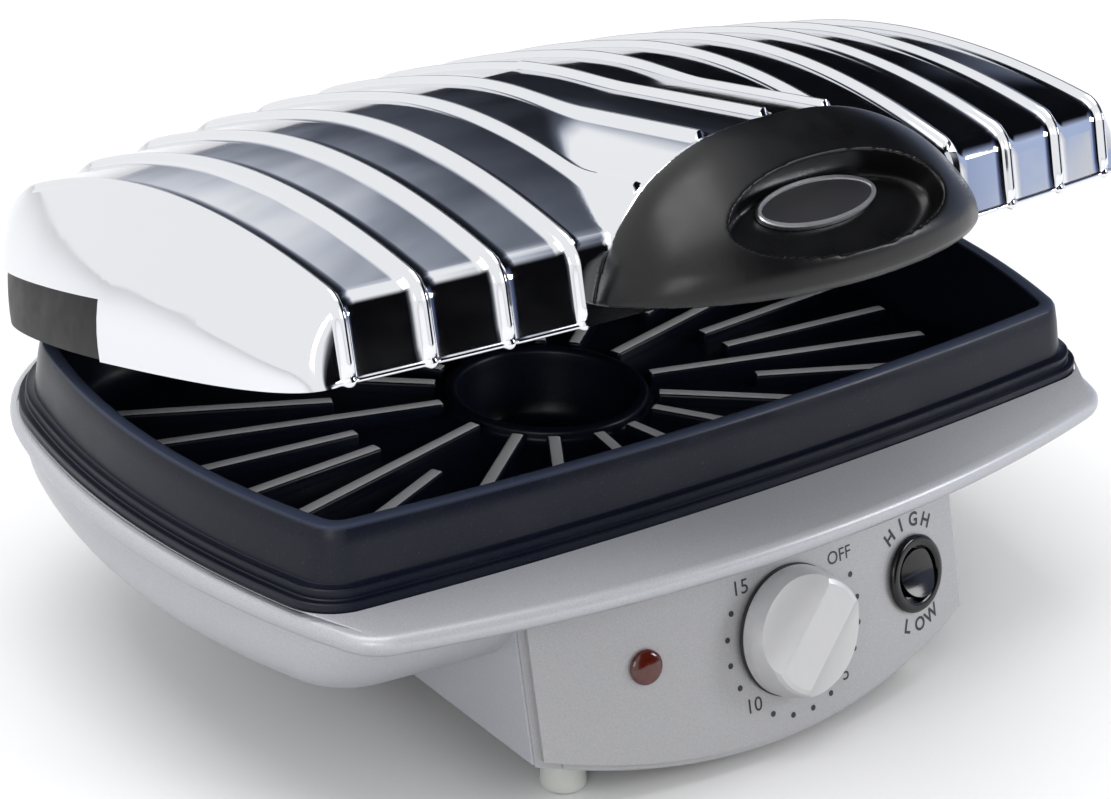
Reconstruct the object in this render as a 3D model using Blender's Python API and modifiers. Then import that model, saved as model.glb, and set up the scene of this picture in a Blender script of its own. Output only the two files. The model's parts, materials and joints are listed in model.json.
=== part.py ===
"""Indoor grill with a deep ribbed plate, a chrome lid on a rear hinge, a timer knob and a rocker switch.

Metres, +Z up. The front faces -Y. The origin is on the surface that the grill stands on,
under the middle of its box. The lid stands ajar, as it rests in use.
"""
from math import asin, atan2, cos, hypot, pi, radians, sin, sqrt, tan

import bmesh
import bpy
from mathutils import Matrix, Vector

# Heights of the stack, from the worktop up
foot_height = 0.0180
pedestal_height = 0.0185
tray_height = 0.0410
plate_rise = 0.0213

# Gaps and overruns shared by all pieces
seat_gap = 0.0003
cut_overrun = 0.004
weld_distance = 0.000001

# Grill plate: the outline of its rim, its wall, its two flange steps and its floor
plate_half_width = 0.1500
plate_half_depth = 0.0930
plate_side_bow = 0.0180
plate_front_bow = 0.0090
plate_corner = 0.0100
plate_rear_corner = 0.0450
plate_wall = 0.0040
plate_edge_round = 0.0008
plate_wall_height = 0.0158
plate_outer_draft = 0.0026
plate_inner_draft = 0.0035
plate_depth = 0.0310
plate_floor_thickness = 0.0035
plate_floor_fillet = 0.0080
flange_step_width = 0.0024
flange_step_height = 0.0030
flange_lip_width = 0.0020
flange_lip_thickness = 0.0030

# Radial cooking ribs on the plate, and the water cup in its middle
cooking_rib_width = 0.0046
cooking_rib_height = 0.0040
cooking_rib_draft = 0.0006
cooking_rib_sink = 0.0010
long_rib_start = 0.0345
short_rib_start = 0.0670
rib_end_space = 0.0030
long_rib_angles = (15.0, 39.0, 57.0, 80.0)
short_rib_angles = (5.0, 25.0)
cup_radius = 0.0280
cup_lip_width = 0.0040
cup_depth = 0.0195
cup_wall = 0.0030
cup_lip_round = 0.0010

# Base: the ledge round the plate, the tray under it and the pedestal that it stands on
ledge_side_width = 0.0096
ledge_front_width = 0.0325
ledge_rear_lap = 0.0075
ledge_side_bow = 0.0324
ledge_front_bow = 0.0256
ledge_corner = 0.0170
ledge_rear_bow = 0.0340
ledge_rear_corner = 0.0750
ledge_slope_drop = 0.0018
ledge_edge_round = 0.0028
ledge_thickness = 0.0085
ledge_cove = 0.0025
tray_side_margin = 0.0055
tray_depth_margin = 0.0065
tray_side_bow = 0.0210
tray_front_bow = 0.0120
tray_corner = 0.0160
tray_rear_corner = 0.0460
tray_floor_inset = 0.0360
tray_floor_corner = 0.0300
tray_curve_shares = (0, 0.34, 0.62, 0.84, 1.0)
base_wall = 0.0022
seat_width = 0.0045
seat_depth = 0.0013
seat_clearance = 0.0004
pedestal_half_width = 0.0815
pedestal_rear_reach = 0.0880
pedestal_rear_corner = 0.0120
bay_depth = 0.0260
bay_roof_space = 0.0010
wire_hole_radius = 0.0080

# Control panel: a curved, tilted front with a smile-shaped lower edge
panel_reach = 0.1070
panel_bow = 0.0095
panel_tilt = radians(14.7)
panel_seam_drop = 0.0390
panel_thickness = 0.0025
panel_chin_clearance = 0.0055
panel_edge_round = 0.0012
chin_depth = 0.0080
chin_taper_share = 0.90

# Timer, its knob and its shaft
control_height = 0.0370
dial_offset = 0.0055
knob_radius = 0.0202
knob_top_radius = 0.0172
knob_height = 0.0130
knob_skirt_height = 0.0055
knob_edge_round = 0.0022
knob_grip_half_width = 0.0036
knob_flank_depth = 0.0046
knob_flank_radius = 0.0260
knob_gap = 0.0010
knob_bore_depth = 0.0095
off_angle = radians(46.0)
shaft_radius = 0.0030
shaft_clearance = 0.0002
shaft_hole_clearance = 0.0010
timer_width = 0.0340
timer_height = 0.0240
timer_depth = 0.0140
timer_edge_round = 0.0020
timer_bore_depth = 0.0090
bell_radius = 0.0100
bell_height = 0.0030

# Indicator lamp
lamp_offset = 0.0455
lamp_height = 0.0395
lamp_radius = 0.0052
lamp_dome = 0.0022
lamp_stem_radius = 0.0040
lamp_stem_length = 0.0050
lamp_body_radius = 0.0055
lamp_body_length = 0.0150

# Rocker switch
switch_offset = 0.0585
switch_bezel_radius = 0.0120
switch_bezel_height = 0.0018
switch_barrel_radius = 0.0098
switch_barrel_length = 0.0180
switch_well_radius = 0.0086
switch_well_depth = 0.0080
rocker_radius = 0.0075
rocker_rise = 0.0042
rocker_drop = 0.0030
rocker_pivot_depth = 0.0010
rocker_dish = 0.0016
rocker_tilt = radians(8.0)

# Lid: the outline of its lower edge, its crown, its raised ribs and its rolled edge
lid_open_angle = radians(15.0)
lid_front_lap = 0.0165
lid_rear_lap = 0.0145
lid_side_lap = 0.0055
lid_drop = 0.0102
lid_front_bow = 0.0148
lid_rear_bow = 0.0185
lid_wall = 0.0012
lid_front_height = 0.0212
lid_crown_height = 0.0540
lid_crown_fall = 0.0097
lid_rear_fall = 0.0100
lid_crown_place = 0.1150
lid_front_round = 0.0045
lid_rear_run = 0.0300
lid_rear_drop = 0.0180
lid_bead = 0.0008
lid_bead_height = 0.0016
lid_rib_pitch = 0.0226
lid_rib_width = 0.0046
lid_rib_height = 0.0021
lid_ribs_each_side = 6
lid_corner_power = 3.0
lid_rear_corner_power = 1.8
lid_end_power = 2.2
end_level_shares = (0.93, 0.78, 0.50, 0.20)

# Raised hood in the middle of the lid, which ends in the arch that carries the handle
hood_half_width = 0.0668
hood_height = 0.0436
hood_root = 0.0215
hood_power = 2.44
hood_slope = 0.088
hood_round = 0.0012
hood_column_shares = (0.80, 0.88, 0.95)

# Handle: a bulging cover with an oval recess, its back plate, its badge and its screws
handle_reach = 0.0350
handle_overlap = 0.0008
handle_nose_height = 0.0090
handle_foot_height = 0.0004
handle_foot_rise = 0.0052
handle_lip_setback = 0.0020
handle_plan_power = 2.4
handle_profile_power = 1.4
handle_wall = 0.0028
handle_back_thickness = 0.0020
handle_back_gap = 0.0010
handle_back_share = 0.90
recess_half_width = 0.0370
recess_half_height = 0.0145
recess_place = 0.0260
recess_height = 0.0215
recess_depth = 0.0080
recess_tilt = radians(50.0)
recess_wall = 0.0020
badge_half_width = 0.0207
badge_half_height = 0.0073
badge_thickness = 0.0014
badge_lift = 0.0064
badge_rim = 0.0012
badge_field_depth = 0.0006
handle_screw_offset = 0.0330
handle_screw_height = 0.0125
handle_screw_radius = 0.0017
handle_screw_head_radius = 0.0034
handle_screw_head_height = 0.0022
handle_screw_length = 0.0058
screw_hole_clearance = 0.0003

# Lid frame and liner, which show under the lid and at its rear corners
frame_gap = 0.0003
frame_thickness = 0.0016
frame_height = 0.0215
frame_front = 0.1075
frame_notch_front = 0.1100
frame_notch_height = 0.0172
liner_inset = 0.0070
liner_thickness = 0.0010
liner_flange_height = 0.0125
liner_flange_gap = 0.0010

# Rear hinge
pivot_reach = 0.0105
pivot_height = 0.0222
hinge_offset = 0.0520
knuckle_radius = 0.0055
knuckle_width = 0.0110
knuckle_gap = 0.0004
pin_radius = 0.0020
pin_clearance = 0.0002
pin_head_radius = 0.0032
pin_head_width = 0.0012
bracket_depth = 0.0100
bracket_lean = 0.0045
bracket_sink_gap = 0.0003
arm_height = 0.0110
arm_root_height = 0.0030

# Parts inside the base and under it
element_radius = 0.00325
element_side_space = 0.0650
element_front_space = 0.0410
element_terminal_space = 0.0120
element_drop = 0.0120
element_bend = 0.0050
reflector_side_space = 0.0500
reflector_front_space = 0.0290
reflector_corner = 0.0260
reflector_height = 0.0090
reflector_flare = 0.0050
reflector_thickness = 0.0010
thermostat_offset = 0.0500
thermostat_radius = 0.0080
thermostat_cap_height = 0.0035
thermostat_body_radius = 0.0068
thermostat_body_height = 0.0080
terminal_length = 0.0320
terminal_width = 0.0140
terminal_depth = 0.0100
terminal_place = 0.0420
terminal_hole_radius = 0.0018
terminal_pitch = 0.0100
gland_height = 0.0275
gland_radius = 0.0080
gland_flange = 0.0020
gland_neck_radius = 0.0058
gland_bore_radius = 0.0036
gland_reach = 0.0040
cover_thickness = 0.0020
cover_clearance = 0.0004
cover_corner = 0.0080
vent_length = 0.0300
vent_width = 0.0030
vent_pitch = 0.0080
vent_count = 5
boss_radius = 0.0040
screw_radius = 0.0014
screw_head_radius = 0.0030
screw_head_height = 0.0016
screw_length = 0.0110
boss_side_space = 0.0135
boss_front_space = 0.0370
boss_rear_space = 0.0240
foot_radius = 0.0068
foot_top_radius = 0.0060
foot_edge_round = 0.0012
foot_side_space = 0.0185
foot_front_space = 0.0110
foot_rear_space = 0.0120

# How finely round shapes are faceted
front_steps = 8
side_steps = 4
corner_steps = 3
turn_steps = 28
screw_steps = 12
small_turn_steps = 16
element_steps = 26
panel_steps = 12
knob_steps = 32
handle_steps = 16

# Levels and reaches worked out from the sizes above
tray_floor_level = foot_height + pedestal_height
ledge_level = tray_floor_level + tray_height
rim_level = ledge_level + plate_rise
seam_level = rim_level - panel_seam_drop
flange_reach = plate_outer_draft + flange_step_width + flange_lip_width
plate_underside = rim_level - plate_depth - plate_floor_thickness
lid_front = -(plate_half_depth + lid_front_lap)
lid_length = 2 * plate_half_depth + lid_front_lap + lid_rear_lap
lid_half_width = plate_half_width + lid_side_lap
lid_base_level = rim_level - lid_drop
pivot_v = lid_length + pivot_reach
pivot_y = lid_front + pivot_v
ledge_rear_reach = pivot_y + ledge_rear_lap
element_half_width = plate_half_width - element_side_space
element_half_depth = plate_half_depth - element_front_space
reflector_half_width = plate_half_width - reflector_side_space
reflector_half_depth = plate_half_depth - reflector_front_space
boss_place_x = pedestal_half_width - boss_side_space
boss_front_place = panel_reach - boss_front_space
boss_rear_place = pedestal_rear_reach - boss_rear_space
foot_place_x = pedestal_half_width - foot_side_space
foot_front_place = panel_reach - foot_front_space
foot_rear_place = pedestal_rear_reach - foot_rear_space
pivot_z = lid_base_level + pivot_height
rib_end_x = lid_ribs_each_side * lid_rib_pitch + lid_rib_width / 2


def clear_scene():
    """Remove every object of the start-up scene."""
    for item in list(bpy.data.objects):
        bpy.data.objects.remove(item, do_unlink=True)


def new_collection(name):
    """Make a collection in the scene."""
    collection = bpy.data.collections.new(name)
    bpy.context.scene.collection.children.link(collection)
    return collection


def material(name, colour, roughness, metallic=0.0, alpha=1.0):
    """Make a Principled material."""
    made = bpy.data.materials.new(name)
    made.use_nodes = True
    shader = made.node_tree.nodes["Principled BSDF"]
    shader.inputs["Base Color"].default_value = (*colour, 1.0)
    shader.inputs["Roughness"].default_value = roughness
    shader.inputs["Metallic"].default_value = metallic
    shader.inputs["Alpha"].default_value = alpha
    return made


def finish_mesh(name, bm, smooth_angle=radians(35)):
    """Close a bmesh into mesh data with its faces pointing out and its round faces smooth."""
    bmesh.ops.remove_doubles(bm, verts=bm.verts, dist=weld_distance)
    bmesh.ops.recalc_face_normals(bm, faces=bm.faces)
    mesh = bpy.data.meshes.new(name)
    bm.to_mesh(mesh)
    bm.free()
    mesh.shade_smooth()
    mesh.set_sharp_from_angle(angle=smooth_angle)
    return mesh


def place(name, mesh, look=None, matrix=None, parent=None):
    """Add an object for a sub-part, or a hidden cutter where no look is given."""
    item = bpy.data.objects.new(name, mesh)
    if look is None:
        cutters.objects.link(item)
        item.hide_render = True
        item.display_type = "WIRE"
    else:
        parts.objects.link(item)
        mesh.materials.append(look)
    item.parent = parent
    if matrix is not None:
        item.matrix_local = matrix
    return item


def cut(target, cutter, operation="DIFFERENCE"):
    """Cut a piece with another, or join it to the piece."""
    modifier = target.modifiers.new(cutter.name, "BOOLEAN")
    modifier.operation = operation
    modifier.solver = "EXACT"
    modifier.object = cutter
    return target


def join(target, addition):
    """Fuse a hidden shape to a piece."""
    return cut(target, addition, "UNION")


def loft(name, rings):
    """Skin a row of closed rings with equal counts, with a flat face over each end ring."""
    bm = bmesh.new()
    rows = [[bm.verts.new(point) for point in ring] for ring in rings]
    for low, high in zip(rows, rows[1:]):
        for index, corner in enumerate(low):
            follower = (index + 1) % len(low)
            bm.faces.new((corner, low[follower], high[follower], high[index]))
    bm.faces.new(reversed(rows[0]))
    bm.faces.new(rows[-1])
    return finish_mesh(name, bm)


def turned(name, profile, steps=turn_steps):
    """Turn a profile of (radius, height) points, which runs from the foot to the top on the axis."""
    mesh = bpy.data.meshes.new(name)
    closed = profile[0] == profile[-1]
    points = [(radius, 0, height) for radius, height in reversed(profile[closed:])]
    edges = [(index, index + 1) for index in range(len(points) - 1)]
    mesh.from_pydata(points, edges + [(len(points) - 1, 0)] * closed, [])
    item = bpy.data.objects.new(name, mesh)
    cutters.objects.link(item)
    screw = item.modifiers.new("Turned", "SCREW")
    screw.steps = steps
    screw.render_steps = steps
    screw.use_merge_vertices = True
    screw.merge_threshold = weld_distance
    return applied(item)


def applied(item, smooth_angle=radians(35)):
    """Apply a hidden shape's modifiers and hand back its mesh alone."""
    depsgraph = bpy.context.evaluated_depsgraph_get()
    mesh = bpy.data.meshes.new_from_object(item.evaluated_get(depsgraph))
    name = item.name
    old_mesh = item.data
    bpy.data.objects.remove(item, do_unlink=True)
    bpy.data.meshes.remove(old_mesh)
    mesh.name = name
    mesh.shade_smooth()
    mesh.set_sharp_from_angle(angle=smooth_angle)
    return mesh


def cylinder(name, radius, low, high, steps=turn_steps):
    """Make a cylinder along Z between two heights."""
    bm = bmesh.new()
    middle = Matrix.Translation((0, 0, (low + high) / 2))
    bmesh.ops.create_cone(bm, cap_ends=True, segments=steps, radius1=radius, radius2=radius,
                          depth=high - low, matrix=middle)
    return finish_mesh(name, bm)


def box(name, low, high):
    """Make a box between two corners."""
    bm = bmesh.new()
    size = Vector(high) - Vector(low)
    centre = (Vector(high) + Vector(low)) / 2
    matrix = Matrix.Translation(centre) @ Matrix.Diagonal((*size, 1.0))
    bmesh.ops.create_cube(bm, size=1.0, matrix=matrix)
    return finish_mesh(name, bm)


def prism(name, outline, low, high):
    """Raise a flat outline of (x, y) points between two heights."""
    return loft(name, [[(x, y, level) for x, y in outline] for level in (low, high)])


def rounded(item, width, segments=2):
    """Round the sharp edges of a piece."""
    modifier = item.modifiers.new("Rounded edges", "BEVEL")
    modifier.width = width
    modifier.segments = segments
    modifier.limit_method = "ANGLE"
    modifier.angle_limit = radians(50)
    return item


def arc_points(centre, radius, start, end, steps):
    """Points on an arc, without its last point."""
    points = []
    for index in range(steps):
        angle = start + (end - start) * index / steps
        points.append((centre[0] + radius * cos(angle), centre[1] + radius * sin(angle)))
    return points


def bow_radius(half_length, bow):
    """Radius of an arc from its half length and how far it bows."""
    return (half_length ** 2 + bow ** 2) / (2 * bow)


def fillet_centre(side_centre, side_radius, front_centre, front_radius):
    """Where two circles cross, one centred on the X axis and one on the Y axis, in the corner at +X, +Y."""
    gap = hypot(side_centre, front_centre)
    along = (side_radius ** 2 - front_radius ** 2 + gap ** 2) / (2 * gap)
    across = sqrt(side_radius ** 2 - along ** 2)
    step_x = -side_centre / gap
    step_y = front_centre / gap
    first = (side_centre + along * step_x + across * step_y, along * step_y - across * step_x)
    second = (side_centre + along * step_x - across * step_y, along * step_y + across * step_x)
    return max(first, second, key=sum)


def bowed_outline(half_width, front, rear, side_bow, front_bow, corner, rear_bow=0, rear_corner=0):
    """A rectangle with bowed sides and rounded corners, anticlockwise from the middle of its front."""
    side_radius = bow_radius(min(front, rear), side_bow)
    side_centre = half_width - side_radius
    ends = ((front, front_bow, corner), (rear, rear_bow or front_bow, rear_corner or corner))
    halves = []
    for reach, end_bow, corner in ends:
        end_radius = bow_radius(half_width, end_bow)
        end_centre = reach - end_radius
        centre = fillet_centre(side_centre, side_radius - corner, end_centre, end_radius - corner)
        side_angle = atan2(centre[1], centre[0] - side_centre)
        end_angle = atan2(centre[1] - end_centre, centre[0])
        half = arc_points((side_centre, 0), side_radius, 0, side_angle, side_steps // 2)
        half += arc_points(centre, corner, side_angle, end_angle, corner_steps)
        half += arc_points((0, end_centre), end_radius, end_angle, pi / 2, front_steps // 2)
        halves.append(half + [(0, reach)])
    front_half, rear_half = halves
    right = [(x, -y) for x, y in reversed(front_half)] + rear_half[1:]
    left = [(-x, y) for x, y in reversed(right[1:-1])]
    return right + left


def ring(outline, level):
    """Lay an outline at a height."""
    return [(x, y, level) for x, y in outline]


def plate_outline(outset):
    """The grill plate's outline, moved outwards from its rim."""
    return bowed_outline(plate_half_width + outset, plate_half_depth + outset, plate_half_depth + outset,
                         plate_side_bow, plate_front_bow, max(plate_corner + outset, plate_wall),
                         plate_front_bow, plate_rear_corner + outset)


def outline_reach(outline, angle):
    """How far an outline lies from the middle, along an angle."""
    direction = (cos(angle), sin(angle))
    for first, second in zip(outline, outline[1:] + outline[:1]):
        side = first[0] * direction[1] - first[1] * direction[0]
        other = second[0] * direction[1] - second[1] * direction[0]
        if side * other <= 0 and side != other:
            share = side / (side - other)
            x = first[0] + share * (second[0] - first[0])
            y = first[1] + share * (second[1] - first[1])
            if x * direction[0] + y * direction[1] > 0:
                return hypot(x, y)
    return 0


def cooking_ribs():
    """All radial ribs as one hidden shape, each a bar from near the cup to the foot of the wall."""
    floor = rim_level - plate_depth
    outline = plate_outline(-(plate_wall + plate_inner_draft + plate_floor_fillet))
    bm = bmesh.new()
    for angles, start in ((long_rib_angles, long_rib_start), (short_rib_angles, short_rib_start)):
        for angle in angles:
            for heading in (angle, 180 - angle, 180 + angle, -angle):
                turn = radians(heading)
                end = outline_reach(outline, turn) - rib_end_space
                made = bmesh.ops.create_cube(bm, size=1.0)["verts"]
                for vert in made:
                    on_top = vert.co.z > 0
                    half_width = cooking_rib_width / 2 + (0 if on_top else cooking_rib_draft)
                    run_in = 0 if on_top else cooking_rib_draft
                    along = start - run_in if vert.co.x < 0 else end + run_in
                    level = floor + cooking_rib_height if on_top else floor - cooking_rib_sink
                    across = half_width if vert.co.y > 0 else -half_width
                    x = along * cos(turn) - across * sin(turn)
                    y = along * sin(turn) + across * cos(turn)
                    vert.co = (x, y, level)
    return finish_mesh("cooking_ribs", bm)


def make_grill_plate():
    """The deep non-stick plate: a cast wall with a stepped flange, radial ribs and a water cup."""
    inner_foot = plate_wall + plate_inner_draft
    bowl = plate_outer_draft - flange_step_width / 2
    steps = [
        (-inner_foot - plate_floor_fillet, -plate_depth - plate_floor_thickness),
        (-plate_floor_fillet, -plate_depth - plate_floor_thickness),
        (-plate_wall / 2, -plate_depth),
        (bowl, -plate_rise - seat_depth + seat_gap),
        (flange_reach, -plate_rise - seat_depth + seat_gap),
        (flange_reach, -plate_wall_height - flange_step_height),
        (flange_reach - flange_lip_width, -plate_wall_height - flange_step_height),
        (flange_reach - flange_lip_width, -plate_wall_height),
        (plate_outer_draft, -plate_wall_height),
        (0, -plate_edge_round),
        (-plate_edge_round, 0),
        (-plate_wall + plate_edge_round, 0),
        (-plate_wall, -plate_edge_round),
        (-inner_foot, -plate_depth + plate_floor_fillet / 2),
        (-inner_foot - plate_floor_fillet / 3, -plate_depth + plate_floor_fillet / 8),
        (-inner_foot - plate_floor_fillet, -plate_depth),
    ]
    rings = [ring(plate_outline(outset), rim_level + height) for outset, height in steps]
    plate = place("grill_plate", loft("grill_plate", rings), coating)
    join(plate, place("cooking_ribs", cooking_ribs()))
    floor = rim_level - plate_depth
    lip = floor + cooking_rib_height
    outer = cup_radius + cup_lip_width
    hull = [
        (0, floor - cup_depth - cup_wall),
        (cup_radius * 0.70, floor - cup_depth - cup_wall),
        (cup_radius * 0.92 + cup_wall, floor - cup_depth * 0.75),
        (cup_radius + cup_wall, floor - plate_floor_thickness),
        (outer, floor - plate_floor_thickness / 2),
        (outer, lip - 2 * cup_lip_round),
        (outer - 2 * cup_lip_round, lip),
        (0, lip),
    ]
    join(plate, place("cup_hull", turned("cup_hull", hull)))
    hollow = [
        (0, floor - cup_depth),
        (cup_radius * 0.66, floor - cup_depth),
        (cup_radius * 0.86, floor - cup_depth * 0.80),
        (cup_radius * 0.96, floor - plate_floor_thickness),
        (cup_radius, lip - cup_lip_round),
        (cup_radius + cup_lip_round, lip),
        (cup_radius + cup_lip_round, lip + cut_overrun),
        (0, lip + cut_overrun),
    ]
    return cut(plate, place("cup_hollow", turned("cup_hollow", hollow)))


def ledge_outline(outset):
    """The outline of the ledge that runs round the plate."""
    return bowed_outline(plate_half_width + ledge_side_width + outset, plate_half_depth + ledge_front_width + outset,
                         ledge_rear_reach + outset, ledge_side_bow, ledge_front_bow, ledge_corner + outset,
                         ledge_rear_bow, ledge_rear_corner + outset)


def tray_outline(inset):
    """The outline of the tray's wall below the ledge, moved inwards as the wall curves under."""
    share = inset / tray_floor_inset
    depth = plate_half_depth + tray_depth_margin - inset
    corner = tray_corner + (tray_floor_corner - tray_corner) * share
    rear_corner = tray_rear_corner + (tray_floor_corner - tray_rear_corner) * share
    return bowed_outline(plate_half_width + tray_side_margin - inset, depth, depth,
                         tray_side_bow, tray_front_bow, corner, tray_front_bow, rear_corner)


def tray_wall_steps(wall):
    """How far in and how high the curved tray wall lies, for a skin that is a wall's thickness inside."""
    top = ledge_level - ledge_thickness - ledge_cove
    drop = top - tray_floor_level - wall
    steps = []
    for share in tray_curve_shares:
        angle = share * pi / 2
        reach = wall + (tray_floor_inset - wall) * (1 - cos(angle)) ** 1.15
        steps.append((reach, top - drop * sin(angle)))
    return steps


def front_line(level, setback=0, half_width=pedestal_half_width):
    """The bowed front line of the control panel at a height, from left to right."""
    points = []
    for index in range(panel_steps + 1):
        x = half_width * (2 * index / panel_steps - 1)
        points.append((x, panel_y(x, level) + setback))
    return points


def panel_y(x, level):
    """Where the control panel's outer face lies at a place and height."""
    bow = panel_bow * (x / pedestal_half_width) ** 2
    return -(panel_reach - bow) + tan(panel_tilt) * (level - seam_level)


def pedestal_ring(level, setback, inset):
    """The pedestal's outline at a height: the bowed front, two flat sides and rounded rear corners."""
    half_width = pedestal_half_width - inset
    rear = pedestal_rear_reach - inset
    corner = pedestal_rear_corner - inset
    outline = front_line(level, setback, half_width)
    outline += arc_points((half_width - corner, rear - corner), corner, 0, pi / 2, 4) + [(half_width - corner, rear)]
    outline += arc_points((-half_width + corner, rear - corner), corner, pi / 2, pi, 4) + [(-half_width, rear - corner)]
    return ring(outline, level)


def boss_places():
    """Where the four cover screws go."""
    return [(side * boss_place_x, depth) for side in (-1, 1) for depth in (-boss_front_place, boss_rear_place)]


def make_base_shell():
    """The painted base: ledge, curved tray and pedestal in one moulding, open above and below."""
    seat_outset = flange_reach + seat_clearance
    ledge_front = ledge_level - ledge_slope_drop
    rings = [
        ring(plate_outline(seat_outset + seat_gap), ledge_level),
        ring(ledge_outline(-ledge_edge_round), ledge_front),
        ring(ledge_outline(-ledge_edge_round / 4), ledge_front - ledge_edge_round / 3),
        ring(ledge_outline(0), ledge_front - ledge_edge_round),
        ring(ledge_outline(-ledge_edge_round / 4), ledge_level - ledge_thickness + ledge_edge_round / 2),
        ring(ledge_outline(-ledge_edge_round), ledge_level - ledge_thickness),
    ]
    rings += [ring(tray_outline(inset), level) for inset, level in tray_wall_steps(0)]
    base = place("base_shell", loft("base_shell", rings), silver)

    setback = panel_thickness + seat_gap
    block_top = ledge_level - ledge_thickness + ledge_cove
    pedestal = [pedestal_ring(level, 0, 0) for level in (foot_height, block_top)]
    join(base, place("pedestal_block", loft("pedestal_block", pedestal)))
    recess = []
    for level in (foot_height - cut_overrun, seam_level):
        wide = pedestal_half_width + cut_overrun
        ahead = front_line(level, -cut_overrun, wide)
        recess.append(ring(ahead + front_line(level, setback, wide)[::-1], level))
    cut(base, place("panel_recess", loft("panel_recess", recess)))

    seat_level = ledge_level - seat_depth
    cavity = [
        ring(plate_outline(seat_outset), ledge_level + cut_overrun),
        ring(plate_outline(seat_outset), seat_level),
        ring(plate_outline(seat_outset - seat_width), seat_level),
        ring(plate_outline(seat_outset - seat_width), seat_level - base_wall),
    ]
    cavity += [ring(tray_outline(inset), level) for inset, level in tray_wall_steps(base_wall)]
    cut(base, place("tray_hollow", loft("tray_hollow", cavity)))

    bay_back = -(panel_reach - bay_depth)
    bay_roof = plate_underside - bay_roof_space - base_wall
    bay_top = min(bay_roof, seam_level - seat_gap)
    block = []
    for level in (tray_floor_level, bay_top):
        back = bay_back + base_wall
        half_width = pedestal_half_width - base_wall / 2
        corners = [(half_width, back), (-half_width, back)]
        block.append(ring(front_line(level, setback + seat_gap, half_width) + corners, level))
    join(base, place("bay_block", loft("bay_block", block)))

    inner = pedestal_half_width - base_wall
    lower = [
        pedestal_ring(foot_height - cut_overrun, -cut_overrun, base_wall),
        pedestal_ring(tray_floor_level, -cut_overrun, base_wall),
    ]
    cut(base, place("pedestal_hollow", loft("pedestal_hollow", lower)))
    bay_hollow_low = (-inner, -2 * panel_reach, tray_floor_level - cut_overrun)
    bay_hollow_high = (inner, bay_back, bay_top - base_wall)
    cut(base, place("bay_hollow", box("bay_hollow", bay_hollow_low, bay_hollow_high)))

    for index, (x, y) in enumerate(boss_places()):
        shift = Matrix.Translation((x, y, 0))
        low = foot_height + cover_thickness + seat_gap
        name = f"boss_{index + 1}"
        join(base, place(name, cylinder(name, boss_radius, low, tray_floor_level + base_wall / 2, small_turn_steps), None, shift))
        hole = cylinder(name + "_hole", screw_radius + shaft_clearance, low - cut_overrun, tray_floor_level,
                        small_turn_steps)
        cut(base, place(name + "_hole", hole, None, shift))

    wires = cylinder("wire_hole", wire_hole_radius, tray_floor_level - cut_overrun, tray_floor_level + cut_overrun)
    cut(base, place("wire_hole", wires, None, Matrix.Translation((0, terminal_place / 2, 0))))
    gland_cut = cylinder("gland_hole", gland_neck_radius + seat_gap, -cut_overrun, cut_overrun + base_wall)
    cut(base, place("gland_hole", gland_cut, None, gland_matrix()))
    return base


def gland_matrix():
    """Frame of the cord gland on the pedestal's rear wall, its Z pointing into the base."""
    return Matrix.Translation((0, pedestal_rear_reach, gland_height)) @ Matrix.Rotation(pi / 2, 4, "X")


def panel_frame(x, level):
    """A frame on the control panel: X to the right, Y up the panel, Z out of it."""
    slope = 2 * panel_bow * x / pedestal_half_width ** 2
    across = Vector((1, slope, 0)).normalized()
    up = Vector((0, tan(panel_tilt), 1)).normalized()
    out = across.cross(up).normalized()
    up = out.cross(across)
    frame = Matrix((across, up, out)).transposed().to_4x4()
    frame.translation = (x, panel_y(x, level), level)
    return frame


def panel_bottom(x):
    """Height of the panel's smile-shaped lower edge."""
    rise = foot_height - panel_chin_clearance
    return panel_chin_clearance + rise * (x / pedestal_half_width) ** 2


def make_control_panel():
    """The separate front panel, with its chin and the holes for its three controls."""
    across_steps = panel_steps
    down_steps = 2
    bm = bmesh.new()
    rows = []
    for down in range(down_steps + 1):
        row = []
        for index in range(across_steps + 1):
            x = pedestal_half_width * (2 * index / across_steps - 1)
            top = seam_level - seat_gap
            level = top + (panel_bottom(x) - top) * down / down_steps
            row.append(bm.verts.new((x, panel_y(x, level), level)))
        rows.append(row)
    for upper, under in zip(rows, rows[1:]):
        for index in range(across_steps):
            bm.faces.new((upper[index], under[index], under[index + 1], upper[index + 1]))
    mesh = bpy.data.meshes.new("control_panel")
    bm.normal_update()
    bm.to_mesh(mesh)
    bm.free()
    mesh.shade_smooth()
    panel = place("control_panel", mesh, panel_grey)
    skin = panel.modifiers.new("Skin", "SOLIDIFY")
    skin.thickness = panel_thickness
    skin.offset = -1
    rounded(panel, panel_edge_round, 1)

    stations = []
    for index in range(across_steps + 1):
        x = pedestal_half_width * chin_taper_share * (2 * index / across_steps - 1)
        low = panel_bottom(x)
        high = foot_height - seat_gap
        front_low = panel_y(x, low) + panel_thickness / 2
        front_high = panel_y(x, high) + panel_thickness / 2
        stations.append([(x, front_low, low), (x, front_low + chin_depth, low + (high - low) / 3),
                         (x, front_high + chin_depth, high), (x, front_high, high)])
    join(panel, place("chin_block", loft("chin_block", stations)))

    holes = (("lamp_hole", -lamp_offset, lamp_height, lamp_stem_radius + seat_gap),
             ("shaft_hole", dial_offset, control_height, shaft_radius + shaft_hole_clearance),
             ("switch_hole", switch_offset, control_height, switch_barrel_radius + seat_gap))
    for name, x, level, radius in holes:
        hole = cylinder(name, radius, -2 * cut_overrun, cut_overrun)
        cut(panel, place(name, hole, None, panel_frame(x, level)))
    return panel


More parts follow.
